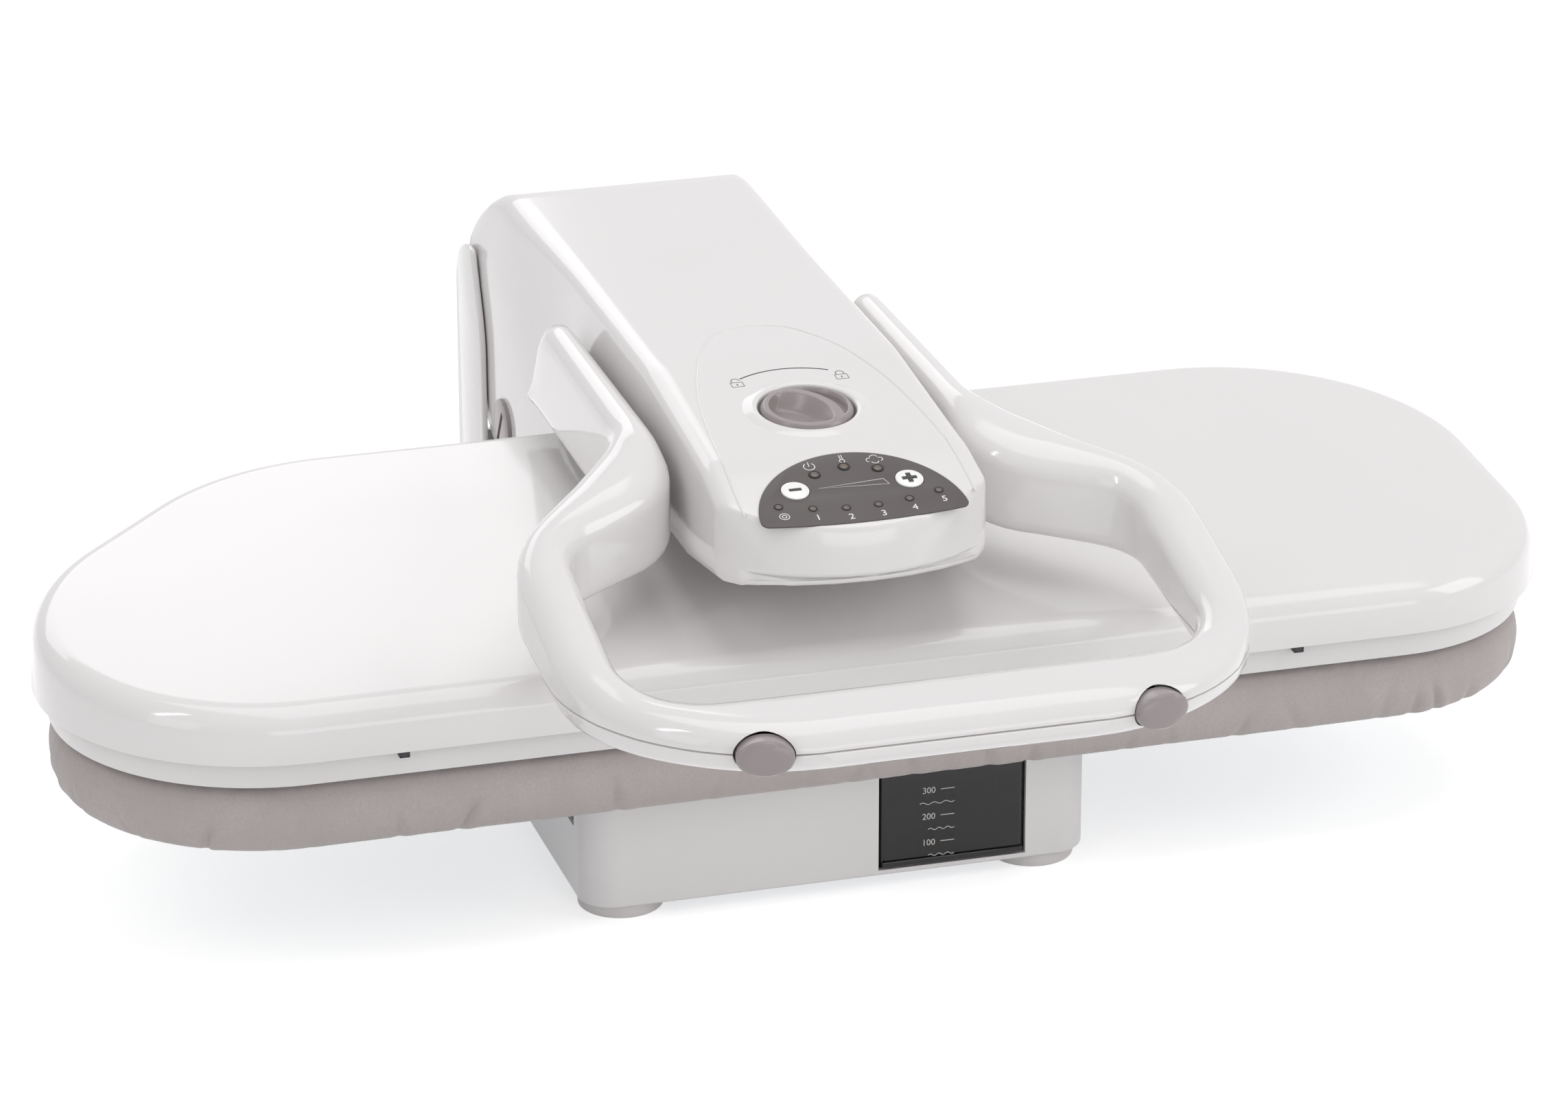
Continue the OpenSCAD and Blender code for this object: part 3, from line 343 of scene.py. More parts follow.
def startMaterial(name):  # with the object's own coordinates, in metres
    material, tree = newMaterial(name)
    return material, tree, addNode(tree, "TexCoord").outputs["Object"]


def endMaterial(tree, shader):
    addNode(tree, "OutputMaterial", {"Surface": shader.outputs[0]})


def grainyShader(tree, tones, tint, grain, strength, depth, finish):
    # two close tones over the tint noise, and a bump of the given depth in mm over the grain noise
    mixed = addNode(tree, "Mix", {
        "Factor": tint, "A": hexColour(tones[0]), "B": hexColour(tones[1])}, data_type="RGBA")
    bump = addNode(tree, "Bump", {"Height": grain, "Strength": strength, "Distance": depth * mm})
    return addNode(tree, "BsdfPrincipled", {
        "Base Color": mixed.outputs["Result"], "Normal": bump.outputs["Normal"], **finish})


def mouldedPlastic(name, tone, shade, roughness, grain, depth, ior=1.54):
    # the tone drifts a little over a large moulding, and the skin has a faint ripple
    material, tree, spot = startMaterial(name)
    drift = addNode(tree, "TexNoise", {"Vector": spot, "Scale": 14.0, "Detail": 3.0}).outputs["Fac"]
    skin = addNode(tree, "TexNoise", {"Vector": spot, "Scale": 1000.0 / grain, "Detail": 2.0}).outputs["Fac"]
    gloss = addNode(tree, "MapRange", {
        "Value": drift, "To Min": roughness * 0.85, "To Max": roughness * 1.15}).outputs["Result"]
    endMaterial(tree, grainyShader(tree, (tone, shade), drift, skin, 0.35, depth,
                                   {"Roughness": gloss, "IOR": ior}))
    return material


def workedMetal(name, tone, shade, roughness, lines, along=(1, 1, 1)):
    # fine drawn or turned lines vary the gloss
    material, tree, spot = startMaterial(name)
    stretch = addNode(tree, "Mapping", {"Vector": spot, "Scale": along}).outputs[0]
    scratch = addNode(tree, "TexNoise", {
        "Vector": stretch, "Scale": 1000.0 / lines, "Detail": 4.0}).outputs["Fac"]
    gloss = addNode(tree, "MapRange", {
        "Value": scratch, "To Min": roughness * 0.7, "To Max": roughness * 1.3}).outputs["Result"]
    endMaterial(tree, grainyShader(tree, (tone, shade), scratch, scratch, 0.3, 0.02,
                                   {"Roughness": gloss, "Metallic": 1.0}))
    return material


def softFill(name, tone, shade, fibre):
    # a loose, matt filling whose pores or fibres cast small shadows
    material, tree, spot = startMaterial(name)
    fluff = addNode(tree, "TexNoise", {
        "Vector": spot, "Scale": 1000.0 / fibre, "Detail": 8.0}).outputs["Fac"]
    endMaterial(tree, grainyShader(tree, (tone, shade), fluff, fluff, 0.8, 0.8, {"Roughness": 0.95}))
    return material


def wovenCover(name):
    # plain-weave cotton, soft and matt with a faint fuzz. Its threads stand about 0.5 mm apart
    # and are drawn 4.34 mm apart, so that they show at this size
    pitch = 4.3426
    material, tree, spot = startMaterial(name)
    threads = [addNode(tree, "TexWave", {
        "Vector": spot, "Scale": 2 * math.pi / 20 / (pitch * mm), "Distortion": 0.6, "Detail": 1.0},
        bands_direction=axis).outputs["Fac"] for axis in "XYZ"]
    cross = addNode(tree, "Math", {0: threads[0], 1: threads[1]}, operation="MAXIMUM")
    weave = addNode(tree, "Math", {0: cross.outputs[0], 1: threads[2]}, operation="ADD")
    cloud = addNode(tree, "TexNoise", {"Vector": spot, "Scale": 30.0, "Detail": 5.0})
    fleck = addNode(tree, "TexNoise", {"Vector": spot, "Scale": 900.0, "Detail": 2.0})
    mixed = addNode(tree, "Math", {
        0: cloud.outputs["Fac"], 1: fleck.outputs["Fac"]}, operation="MULTIPLY")
    tint = addNode(tree, "Mix", {
        "Factor": mixed.outputs[0], "A": hexColour("#ABA3A2"), "B": hexColour("#CCC4C3")},
        data_type="RGBA")
    bump = addNode(tree, "Bump", {
        "Height": weave.outputs[0], "Strength": 0.45, "Distance": 0.12 * mm})
    hang = addNode(tree, "Mapping", {"Vector": spot, "Scale": (1, 1, 0.18)})
    wrinkle = addNode(tree, "TexNoise", {"Vector": hang.outputs[0], "Scale": 70.0, "Detail": 2.0})
    bump = addNode(tree, "Bump", {
        "Height": wrinkle.outputs["Fac"], "Strength": 0.6, "Distance": 2.5 * mm,
        "Normal": bump.outputs["Normal"]})
    shader = addNode(tree, "BsdfPrincipled", {
        "Base Color": tint.outputs["Result"], "Roughness": 0.82, "IOR": 1.5, "Sheen Weight": 0.25,
        "Sheen Roughness": 0.4, "Normal": bump.outputs["Normal"]})
    endMaterial(tree, shader)
    return material


def smokedAcrylic(name, tone, roughness, weight=1.0, ior=1.49):
    # dark tinted, clear and glossy, with the haze of a moulded wall
    material, tree, spot = startMaterial(name)
    haze = addNode(tree, "TexNoise", {"Vector": spot, "Scale": 60.0, "Detail": 3.0})
    gloss = addNode(tree, "MapRange", {
        "Value": haze.outputs["Fac"], "To Min": roughness * 0.5, "To Max": roughness * 1.5})
    shader = addNode(tree, "BsdfPrincipled", {
        "Base Color": hexColour(tone), "Roughness": gloss.outputs["Result"], "IOR": ior,
        "Transmission Weight": weight})
    endMaterial(tree, shader)
    return material


def circuitBoard(name):
    # green solder mask with paler copper tracks showing through
    material, tree, spot = startMaterial(name)
    tracks = addNode(tree, "TexBrick", {
        "Vector": spot, "Scale": 120.0, "Color1": hexColour("#1F5A38"), "Color2": hexColour("#1A4D30"),
        "Mortar": hexColour("#4C8A5C"), "Mortar Size": 0.03})
    shader = addNode(tree, "BsdfPrincipled", {
        "Base Color": tracks.outputs["Color"], "Roughness": 0.35, "IOR": 1.55})
    endMaterial(tree, shader)
    return material


glossAbs = mouldedPlastic("gloss_white_abs", "#E9E6E6", "#E5E2E2", 0.1, 9.0, 0.03)  # mirrors the lamps
satinAbs = mouldedPlastic("satin_white_abs", "#E6E3E3", "#E0DDDD", 0.34, 1.6, 0.05)  # spreads them
greyAbs = mouldedPlastic("satin_grey_abs", greyTone, "#938A8A", 0.28, 2.0, 0.04)  # warm
greyRubber = mouldedPlastic("pale_moulded_rubber", "#DCD9D8", "#D4D0CF", 0.55, 1.2, 0.08, 1.5)  # pale
blackRubber = mouldedPlastic("black_rubber", "#1E1E20", "#2A2A2C", 0.62, 1.0, 0.08, 1.5)  # matt black
blackNylonAndPaintedShade = mouldedPlastic("black_nylon_and_painted_shade", "#26262A", "#2F2F33", 0.42, 1.2, 0.05, 1.53)  # dull shine, and painted shade in the lid clips' slots and the side pocket
printedFilm = mouldedPlastic("printed_panel_film", "#4C4544", "#534C4B", 0.45, 0.8, 0.03, 1.5)  # flat
whiteInk = mouldedPlastic("white_ink", "#F4F2F1", "#EDEAE9", 0.5, 0.8, 0.01, 1.5)  # flat white
darkInk = mouldedPlastic("dark_ink", "#2C2827", "#36312F", 0.5, 0.8, 0.01, 1.5)  # near black
lineInk = mouldedPlastic("grey_ink", "#5C5655", "#655F5E", 0.5, 0.8, 0.01, 1.5)  # grey
keyAbs = mouldedPlastic("white_key_abs", "#FBFAF9", "#F5F3F2", 0.22, 2.0, 0.02)  # bright
lampLens = mouldedPlastic("dark_lamp_lens", "#6B5C56", "#5F524D", 0.18, 2.0, 0.02, 1.49)  # unlit
lampHoop = mouldedPlastic("lamp_hoop_plastic", "#161312", "#1E1A19", 0.6, 2.0, 0.02, 1.49)  # matt dark edge
tankRib = mouldedPlastic("tank_rib_plastic", "#6A6465", "#5E5859", 0.3, 2.0, 0.02, 1.49)  # dim, behind glass
scaleInk = mouldedPlastic("pale_scale_ink", "#C9C6C4", "#BFBBB9", 0.5, 0.8, 0.01, 1.5)  # pale
filterPlastic = mouldedPlastic("pale_filter_plastic", "#D9DDDD", "#C7CDCE", 0.4, 1.0, 0.04, 1.5)  # off-white
foamRubber = softFill("open_cell_foam", "#D9CFB4", "#BDB294", 1.2)  # pale pores
insulationWool = softFill("glass_wool_felt", "#D8D2BE", "#B8B098", 0.8)  # pale fibres
cottonCover = wovenCover("plain_weave_cotton")
tankAcrylic = smokedAcrylic("smoked_tank_acrylic", "#2B2728", 0.06)  # see-through
siliconeHose = smokedAcrylic("clear_silicone_hose", "#E4E6E4", 0.25, 0.7, 1.42)  # milky
rolledSteel = workedMetal("rolled_zinc_steel", "#B9BCC0", "#A6A9AE", 0.34, 1.5, (1, 6, 1))  # soft streaks
brightSteel = workedMetal("ground_bright_steel", "#D5D8DC", "#C3C7CB", 0.18, 0.8, (6, 1, 1))  # fine lines
springSteel = workedMetal("drawn_spring_steel", "#8C9096", "#7A7E84", 0.3, 0.9)  # darker wire
castAluminium = workedMetal("cast_aluminium", "#C9CBCD", "#B6B9BC", 0.42, 2.5)  # grainy
turnedBrass = workedMetal("turned_brass", "#C9A560", "#B8934E", 0.26, 0.7)  # yellow
sinteredBronze = workedMetal("sintered_bronze", "#A9794A", "#946640", 0.45, 0.6)  # dull brown
heaterSteel = workedMetal("heater_sheath_steel", "#8F8A84", "#7B756F", 0.4, 1.2)  # brownish grey
greenBoard = circuitBoard("green_circuit_board")

slotFinish = {
    "white_shell": glossAbs, "steel": rolledSteel, "black_rubber": blackRubber,
    "bright_steel": brightSteel, "spring_steel": springSteel, "foam": foamRubber,
    "cloth": cottonCover, "black_plastic": blackNylonAndPaintedShade, "brass": turnedBrass,
    "bronze": sinteredBronze, "clear_hose": siliconeHose, "green_board": greenBoard,
    "smoked_plastic": tankAcrylic, "grey_plastic": greyAbs, "filter_plastic": filterPlastic,
    "overlay": printedFilm, "lamp": lampLens, "mark": whiteInk, "key_white": keyAbs,
    "aluminium": castAluminium, "heater": heaterSteel, "felt": insulationWool,
}
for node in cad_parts.values():
    for slot in node.material_slots:
        slot.material = slotFinish[slot.material.name.split(".")[0]]
print("materials on the frame's nodes")


# camera, lamps and floor

view = {"azimuth": 16.5, "elevation": 22.0, "distance": 2704.0, "target": (13.75, 23.4, 99.84),
        "lens": 144.0}
az, el = math.radians(view["azimuth"]), math.radians(view["elevation"])
away = Vector((-math.sin(az) * math.cos(el), -math.cos(az) * math.cos(el), math.sin(el)))
bpy.ops.object.camera_add(location=(Vector(view["target"]) + away * view["distance"]) * mm,
                          rotation=(math.pi / 2 - el, 0, -az))
camera = bpy.context.object
camera.data.lens = view["lens"]
camera.data.sensor_width = 36.0
camera.data.clip_end = 50.0
bpy.context.scene.camera = camera

lampAim = Vector((0, 0, 0.12))
lamps = {  # place in metres, size, power in watts
    "top": ((0.35, 0.1, 2.6), (2.6, 1.8), 22.0),
    "right": ((2.3, -1.3, 1.5), (1.3, 1.6), 17.0),
    "left": ((-2.4, -1.5, 1.2), (1.2, 1.6), 6.0),
    "back": ((-0.4, 2.6, 1.6), (2.2, 1.0), 10.0),
    "front": ((0.4, -2.8, 0.6), (2.2, 0.8), 9.0),
    "glint": ((-1.7, -0.6, 2.0), (0.16, 1.1), 5.0),
}
for name, (place, size, power) in lamps.items():
    aim = (lampAim - Vector(place)).to_track_quat("-Z", "Y").to_euler()
    bpy.ops.object.light_add(type="AREA", location=place, rotation=aim)
    lamp = bpy.context.object
    lamp.name = "lamp_" + name
    lamp.data.shape = "RECTANGLE"
    lamp.data.size, lamp.data.size_y = size
    lamp.data.energy = power


def seenDirectly(tree):  # 1 where the camera, a reflection or glass looks straight at it
    path = addNode(tree, "LightPath")
    first = addNode(tree, "Math", {
        0: path.outputs["Is Camera Ray"], 1: path.outputs["Is Glossy Ray"]}, operation="MAXIMUM")
    return addNode(tree, "Math", {0: first.outputs[0], 1: path.outputs["Is Transmission Ray"]},
                   operation="MAXIMUM").outputs[0]


world = bpy.data.worlds.new("pale_studio")
bpy.context.scene.world = world
world.use_nodes = True
tree = world.node_tree
tree.nodes.clear()
dim = addNode(tree, "Background", {"Color": hexColour("#FFFFFF"), "Strength": 0.46})
plain = addNode(tree, "Background", {"Color": hexColour("#FFFFFF"), "Strength": 1.0})
blend = addNode(tree, "MixShader", {0: seenDirectly(tree), 1: dim.outputs[0], 2: plain.outputs[0]})
addNode(tree, "OutputWorld", {"Surface": blend.outputs[0]})

bpy.ops.mesh.primitive_plane_add(size=16, location=(0, 2, 0))
floor = settle(named("studio_floor"))
floorPaint, tree = newMaterial("white_floor_paint")
matt = addNode(tree, "BsdfDiffuse", {"Color": hexColour("#F2F2F2")})
glow = addNode(tree, "Emission", {"Color": hexColour("#FFFFFF"), "Strength": 0.62})
half = addNode(tree, "Math", {0: seenDirectly(tree), 1: 0.85}, operation="MULTIPLY")
both = addNode(tree, "AddShader", {0: matt.outputs[0], 1: glow.outputs[0]})
paint = addNode(tree, "MixShader", {0: half.outputs[0], 1: matt.outputs[0], 2: both.outputs[0]})
endMaterial(tree, paint)
floor.data.materials.append(floorPaint)
settings = bpy.context.scene.view_settings
settings.view_transform = "Standard"
print("camera, lamps and floor")


# lid

lid = {"corners": [(-323.5, -134.7, 95), (323.5, -134.7, 83), (323.5, 111.8, 109), (-219, 111.8, 118),
                   (-323.5, 9.8, 114)],
       "rim": 100.0, "frontHeight": 21.0, "slope": 0.069, "edge": 11.0, "draft": 1.5, "wall": 3.0,
       "crown": 1.6, "crownSteps": (14, 20, 30, 42, 56, 70, 78), "bandInset": 6.0, "bandLow": 88.0,
       "clipX": 191.0, "clipHalf": 2.2, "clipY": (-133.6, -129.2), "clipZ": (97.2, 99.8)}


def lidRing(depth, z, sloped=1.0):
    ring = roundedOutline(insetCorners(lid["corners"], depth), 20)
    return [(p.x, p.y, z + sloped * lid["slope"] * (p.y - lid["corners"][0][1])) for p in ring]


def makeLid():
    rings = [lidRing(0, lid["rim"], 0.0)]
    top = lid["rim"] + lid["frontHeight"]
    for k in range(10):
        q = math.pi / 2 * k / 9
        rings.append(lidRing(lid["draft"] + lid["edge"] * (1 - math.cos(q)),
                             top - lid["edge"] * (1 - math.sin(q))))
    rim = lid["draft"] + lid["edge"]
    for depth in lid["crownSteps"]:
        rise = lid["crown"] * math.sin(math.pi / 2 * (depth - rim) / (lid["crownSteps"][-1] - rim))
        rings.append(lidRing(depth, top + rise))
    cover = loftRings("lid_shell", rings)
    deleteFaces(cover, lambda f: f.normal.z < -0.9)
    applyModifier(cover, "SOLIDIFY", thickness=lid["wall"] * mm, offset=-1)
    roundEdges(cover, 0.7, 2, 60)
    dress(cover, "platen", glossAbs, ["lid_cover"])

    casing = loftRings("casing_band", [lidRing(lid["bandInset"], z, 0.0)
                                       for z in (lid["bandLow"], lid["rim"] + 1.5)])
    deleteFaces(casing, lambda f: abs(f.normal.z) > 0.9)
    applyModifier(casing, "SOLIDIFY", thickness=lid["wall"] * mm, offset=-1)
    roundEdges(casing, 0.8, 2, 60)
    dress(casing, "platen", satinAbs, ["platen_casing"])
    # each clip is a small black block with a recessed face: painted shade for the dark slot in the clip's
    # white tab
    for side in (-1, 1):
        (front, back), (low, high) = lid["clipY"], lid["clipZ"]
        x, half = side * lid["clipX"], lid["clipHalf"]
        clipSlotShade = block("lid_clip_slot_shade_" + ("left" if side < 0 else "right"), (x - half, front, low),
                     (x + half, back, high), 0.4)
        stepIn(clipSlotShade, lambda f: f.normal.y < -0.9, [(0.5, (0, 0.6, 0))])
        dress(clipSlotShade, "platen", blackNylonAndPaintedShade)


makeLid()
print("lid")


# padded board cover

pad = {"low": 56.6, "high": 86.9, "inset": 6.0, "roll": 12, "around": 1200, "down": 26, "seed": 11,
       "foldWide": (1.5, 2.4), "foldDeep": (0.5, 2.3), "foldSlant": (-0.6, 0.45), "foldReach": (0.35, 0.85),
       "foldGap": (10.0, 42.0), "bankHigh": 0.45, "bankOff": 2.4, "bankWide": 1.7, "waveDeep": 0.5,
       "waveLong": (23.0, 61.0)}


def padLine():  # evenly spaced points round the cover's widest outline, with their outward directions
    edge = roundedOutline(insetCorners(lid["corners"], pad["inset"]), 26)
    points = resample(edge + [edge[0]], pad["around"] + 1)[:-1]
    line = []
    for i, point in enumerate(points):
        span = (points[(i + 1) % len(points)] - points[i - 1]).normalized()
        line.append((point, Vector((span.y, -span.x))))
    return line, (points[1] - points[0]).length


def padCreases(length):  # place, width, depth, slant and reach of each crease
    rng = random.Random(pad["seed"])
    creases, place = [], 0.0
    while place < length:
        creases.append((place, rng.uniform(*pad["foldWide"]), rng.uniform(*pad["foldDeep"]),
                        rng.uniform(*pad["foldSlant"]), rng.uniform(*pad["foldReach"])))
        place += rng.uniform(*pad["foldGap"])
    return creases


def makePad():
    line, gap = padLine()
    creases = padCreases(gap * len(line))
    height = pad["high"] - pad["low"]
    short, long = pad["waveLong"]
    rings = []
    for step in range(pad["down"] + 1):  # from the top face round the side to the hem under the board
        turn = math.pi * step / pad["down"]
        swell = max(0.0, math.sin(turn))
        depth = pad["roll"] - pad["roll"] * swell ** 0.8
        z = pad["high"] - height * (1 - math.cos(turn)) / 2
        ring = []
        for i, (point, outward) in enumerate(line):
            push = pad["waveDeep"] * math.sin(i * gap / short) * math.sin(i * gap / long + 1.0)
            for place, wide, deep, slant, reach in creases:
                off = i * gap - place - slant * (z - pad["low"])
                if abs(off) < 6 * wide:
                    fade = 1 - ease(pad["low"] + 0.3 * reach * height, pad["low"] + reach * height, z)
                    beside = (off - pad["bankOff"] * wide) / (pad["bankWide"] * wide)
                    push += deep * fade * (pad["bankHigh"] * math.exp(-beside ** 2)
                                           - math.exp(-(off / wide) ** 2))
            spot = point + outward * (push * swell ** 0.5 - depth)
            ring.append((spot.x, spot.y, z))
        rings.append(ring)
    cover = loftRings("board_cover", rings)
    dress(cover, "base", cottonCover, ["cloth_cover", "foam_pad"], 0)
    activate(cover)
    bpy.ops.object.shade_smooth()


makePad()
print("padded cover")


# arm

arm = {"profile": [(-160, 159.24, 1), (-74, 145, 30), (117.8, 145, 4), (124.8, 86, 10), (222, 86, 8),
                   (263.5, 110, 4), (266.5, 138, 30), (264, 204, 42), (-5, 204, 120), (-98, 194.5, 25),
                   (-160, 177.14, 1)],
       "noseY": -152.5, "noseRadius": 75.5, "noseCentre": -77.0, "noseHalf": 57.5, "rearHalf": 65.7,
       "rearY": 266.2, "ridge": 5.5, "wall": 1.8, "lineWide": 1.1, "cornerRound": 13, "rearRound": 4,
       "footRound": 6, "top": 204, "topHalf": 55, "spread": 12.8, "tall": 120, "backHalf": 66.6,
       "backTuck": 10.6, "tuckFrom": 158, "flareY": (-20, 60), "uprightY": (105, 222), "seatY": (150, 222),
       "faceLow": 157, "faceSteep": 5.0, "faceDeep": 20,
       "line": [(0, 32.5), (10, 30), (17.5, 24.5), (27, 8), (35, -14), (41.5, -39), (46, -72), (48, -100),
                (48.8, -120), (48.8, -132)]}


def chainHeight(chain, y):
    for (a, low), (b, high) in zip(chain, chain[1:]):
        if y <= b:
            return low + (high - low) * max(0.0, y - a) / max(1e-6, b - a)
    return chain[-1][1]


def splitProfile(corners, steps):  # a side outline as its lower and its upper line, front to back
    outline = [tuple(p) for p in roundedOutline(corners, steps)]
    first = min(range(len(outline)), key=lambda i: (outline[i][0], outline[i][1]))
    outline = outline[first:] + outline[:first]
    last = max(range(len(outline)), key=lambda i: outline[i][0])
    return outline[:last + 1], [outline[0]] + outline[last:][::-1]


armLow, armHigh = splitProfile(arm["profile"], 8)
armHigh = [p for p in armHigh if p[0] > -160.01 and not (p[0] < -159.5 and p[1] < 170)]


def armHalf(y, z):  # half of the arm's width
    grow = arm["rearHalf"] - arm["noseHalf"]
    flare = arm["noseHalf"] + grow * ease(*arm["flareY"], y) + 0.5 * ease(*arm["seatY"], y)
    lean = arm["topHalf"] + (arm["top"] - z) * arm["spread"] / arm["tall"]
    tuck = max(0.0, z - arm["tuckFrom"]) / (arm["top"] - arm["tuckFrom"])
    back = arm["backHalf"] - arm["backTuck"] * tuck ** 2  # stands upright where it meets the column
    side = ease(*arm["uprightY"], y)
    return smin(flare, lean * (1 - side) + back * side, 2.0)


def armTopAt(y):
    return chainHeight(armHigh, y)


def armRing(y):  # a section across the arm, curved to the front at the nose
    near = y - arm["noseY"]
    far = arm["rearY"] - y
    shrink = roundIn(near, arm["cornerRound"]) + roundIn(far, arm["rearRound"])
    face = arm["faceLow"] + near * arm["faceSteep"]

    def heights(x):
        pull = max(0.0, min(1.0, (arm["noseCentre"] - y) / arm["noseRadius"]))
        inside = min(abs(x), 60)
        real = y + pull * (arm["noseRadius"] - math.sqrt(arm["noseRadius"] ** 2 - inside ** 2))
        top = armTopAt(real) if near >= arm["faceDeep"] else smin(face, armTopAt(real), 7.0)
        bottom = chainHeight(armLow, real) + roundIn(near, arm["footRound"])
        return real, min(bottom, top - 0.05), top

    real, bottom, top = heights(0)
    tall = top - bottom
    edge = min(arm["ridge"], tall * 0.45)
    foot = min(5.0, tall * 0.3)
    half = []

    def addPoint(x, level):
        spot, low, high = heights(x)
        half.append((x, spot, level(low, high)))

    for part in (0.0, 0.33, 0.66, 0.9):
        addPoint((armHalf(y, bottom) - shrink - foot) * part, lambda low, high: low)
    for k in range(4):
        q = math.pi / 2 * k / 3
        lift = foot * (1 - math.cos(q))
        addPoint(armHalf(y, bottom + lift) - shrink - foot * (1 - math.sin(q)), lambda low, high: low + lift)
    for k in range(1, 8):
        part = k / 8
        addPoint(armHalf(y, bottom + foot + (tall - foot - edge) * part) - shrink,
                 lambda low, high: low + foot + (high - low - foot - edge) * part)
    for k in range(8):
        q = math.pi / 2 * k / 7
        drop = edge * (1 - math.sin(q))
        addPoint(armHalf(y, top - drop) - shrink - edge * (1 - math.cos(q)), lambda low, high: high - drop)
    inner = half[-1][0]
    for part in (0.92, 0.75, 0.5, 0.25, 0.0):
        addPoint(inner * part, lambda low, high: high)
    return half + [(-x, spot, z) for x, spot, z in half[1:-1][::-1]]


def armStations():  # the places of the sections, closer together at both ends
    ys = [arm["noseY"] + 0.9 + 0.3 * k for k in range(22)] + [arm["noseY"] + 8 + k * 1.5 for k in range(8)]
    ys += [p[0] for p in armLow + armHigh if arm["noseY"] + 20 < p[0] < arm["rearY"] - 0.2]
    ys += list(range(-130, 260, 8)) + [arm["rearY"] - 0.3 * k for k in range(1, 14)]
    kept = []
    for y in sorted(ys):
        if not kept or y - kept[-1] > 0.28:
            kept.append(y)
    return kept


def makeArm():
    shell = loftRings("arm_shell", [armRing(y) for y in armStations()])
    deleteFaces(shell, lambda f: f.normal.z < -0.75 and abs(f.calc_center_median().x) < 0.0535
                and f.calc_center_median().y > -0.14 and f.calc_center_median().z < 0.2)
    applyModifier(shell, "SOLIDIFY", thickness=arm["wall"] * mm, offset=-1, thickness_clamp=1.0)
    dress(shell, "arm", glossAbs, ["arm_cover"], 50)


def drapeOnArm(points, lift):  # plan points laid on the arm's top face
    return [Vector((x, y, armTopAt(y) + lift)) * mm for x, y in points]


def sweep(name, points, wide, resolution, closed=False):  # a round bar along points, as a mesh
    bpy.ops.curve.primitive_nurbs_path_add()
    bar = named(name)
    bar.data.splines.clear()
    line = bar.data.splines.new("POLY")
    line.points.add(len(points) - 1)
    for spot, point in zip(line.points, points):
        spot.co = (*point, 1)
    line.use_cyclic_u = closed
    bar.data.bevel_depth = wide / 2 * mm
    bar.data.bevel_resolution = resolution
    bar.data.use_fill_caps = True
    activate(bar)
    bpy.ops.object.convert(target="MESH")
    return settle(bpy.context.object)


def smoothPath(points, steps=8):  # a curve through all points
    path = []
    ends = [points[0]] + list(points) + [points[-1]]
    for a, b, c, d in zip(ends, ends[1:], ends[2:], ends[3:]):
        for k in range(steps):
            t = k / steps
            path.append(tuple(0.5 * (2 * q + (r - p) * t + (2 * p - 5 * q + 4 * r - s) * t * t
                                     + (3 * q - p - 3 * r + s) * t ** 3) for p, q, r, s in zip(a, b, c, d)))
    return path + [tuple(points[-1])]


makeArm()
tongue = [(-x, y) for x, y in arm["line"][::-1]] + arm["line"][1:]
dress(sweep("tongue_line", drapeOnArm(smoothPath(tongue), -0.15), arm["lineWide"], 3), "arm", glossAbs,
      (), 60)
print("arm")


# handle

handle = {"outer": [(77, 113.4, 2), (79, -45, 40), (143.5, -117, 60), (143.5, -273, 90), (-10, -273, 1)],
          "inner": [(62, 113.4, 2), (62, -84, 36), (120, -116, 26), (120, -229, 34), (-10, -229, 1)],
          "side": [(-273, 130.5, 7), (-200, 130.5, 80), (-75, 147, 80), (116.8, 147, 4), (87.8, 194, 10),
                   (-50, 194, 50), (-225, 152.5, 60), (-273, 151.5, 7)],
          "parting": 141.4, "gap": 0.75, "buttonX": 80.0, "buttonY": -270.6, "buttonTurn": 13.47,
          "holeHalf": (12.2, 8.2), "capHalf": (11.5, 7.5), "capDeep": 7.6, "capBack": 2.9,
          "stations": 90, "roundWide": 14.0, "roundHigh": 9.5}


def crossing(line, spot, across):  # how far from the spot, going across, the line is met
    best = None
    for a, b in zip(line, line[1:]):
        span = b - a
        under = across.x * span.y - across.y * span.x
        if abs(under) < 1e-9:
            continue
        gap = a - spot
        t = (gap.x * span.y - gap.y * span.x) / under
        s = (gap.x * across.y - gap.y * across.x) / under
        if -0.001 <= s <= 1.001 and (best is None or abs(t) < abs(best)):
            best = t
    return best


def handleEdges():  # pairs of points on the loop's inner and outer side, for its right half
    outer = openPath(handle["outer"], 14)
    inner = openPath(handle["inner"], 14)
    count = handle["stations"]
    middle = [(a + b) / 2 for a, b in zip(resample(outer, count), resample(inner, count))]
    for times in range(6):  # evens the middle line out
        middle = [middle[0]] + [(middle[i - 1] + middle[i] * 2 + middle[i + 1]) / 4
                                for i in range(1, count - 1)] + [middle[-1]]
    edges = []
    for i, spot in enumerate(middle):
        along = (middle[min(i + 1, count - 1)] - middle[max(i - 1, 0)]).normalized()
        across = Vector((along.y, -along.x))
        if spot.x < 0.5:
            break
        toOuter, toInner = crossing(outer, spot, across), crossing(inner, spot, across)
        if toOuter is None or toInner is None:
            continue
        edges.append((spot + across * toInner, spot + across * toOuter))
    edges.append((Vector((0, handle["inner"][-1][1])), Vector((0, handle["outer"][-1][1]))))
    return edges


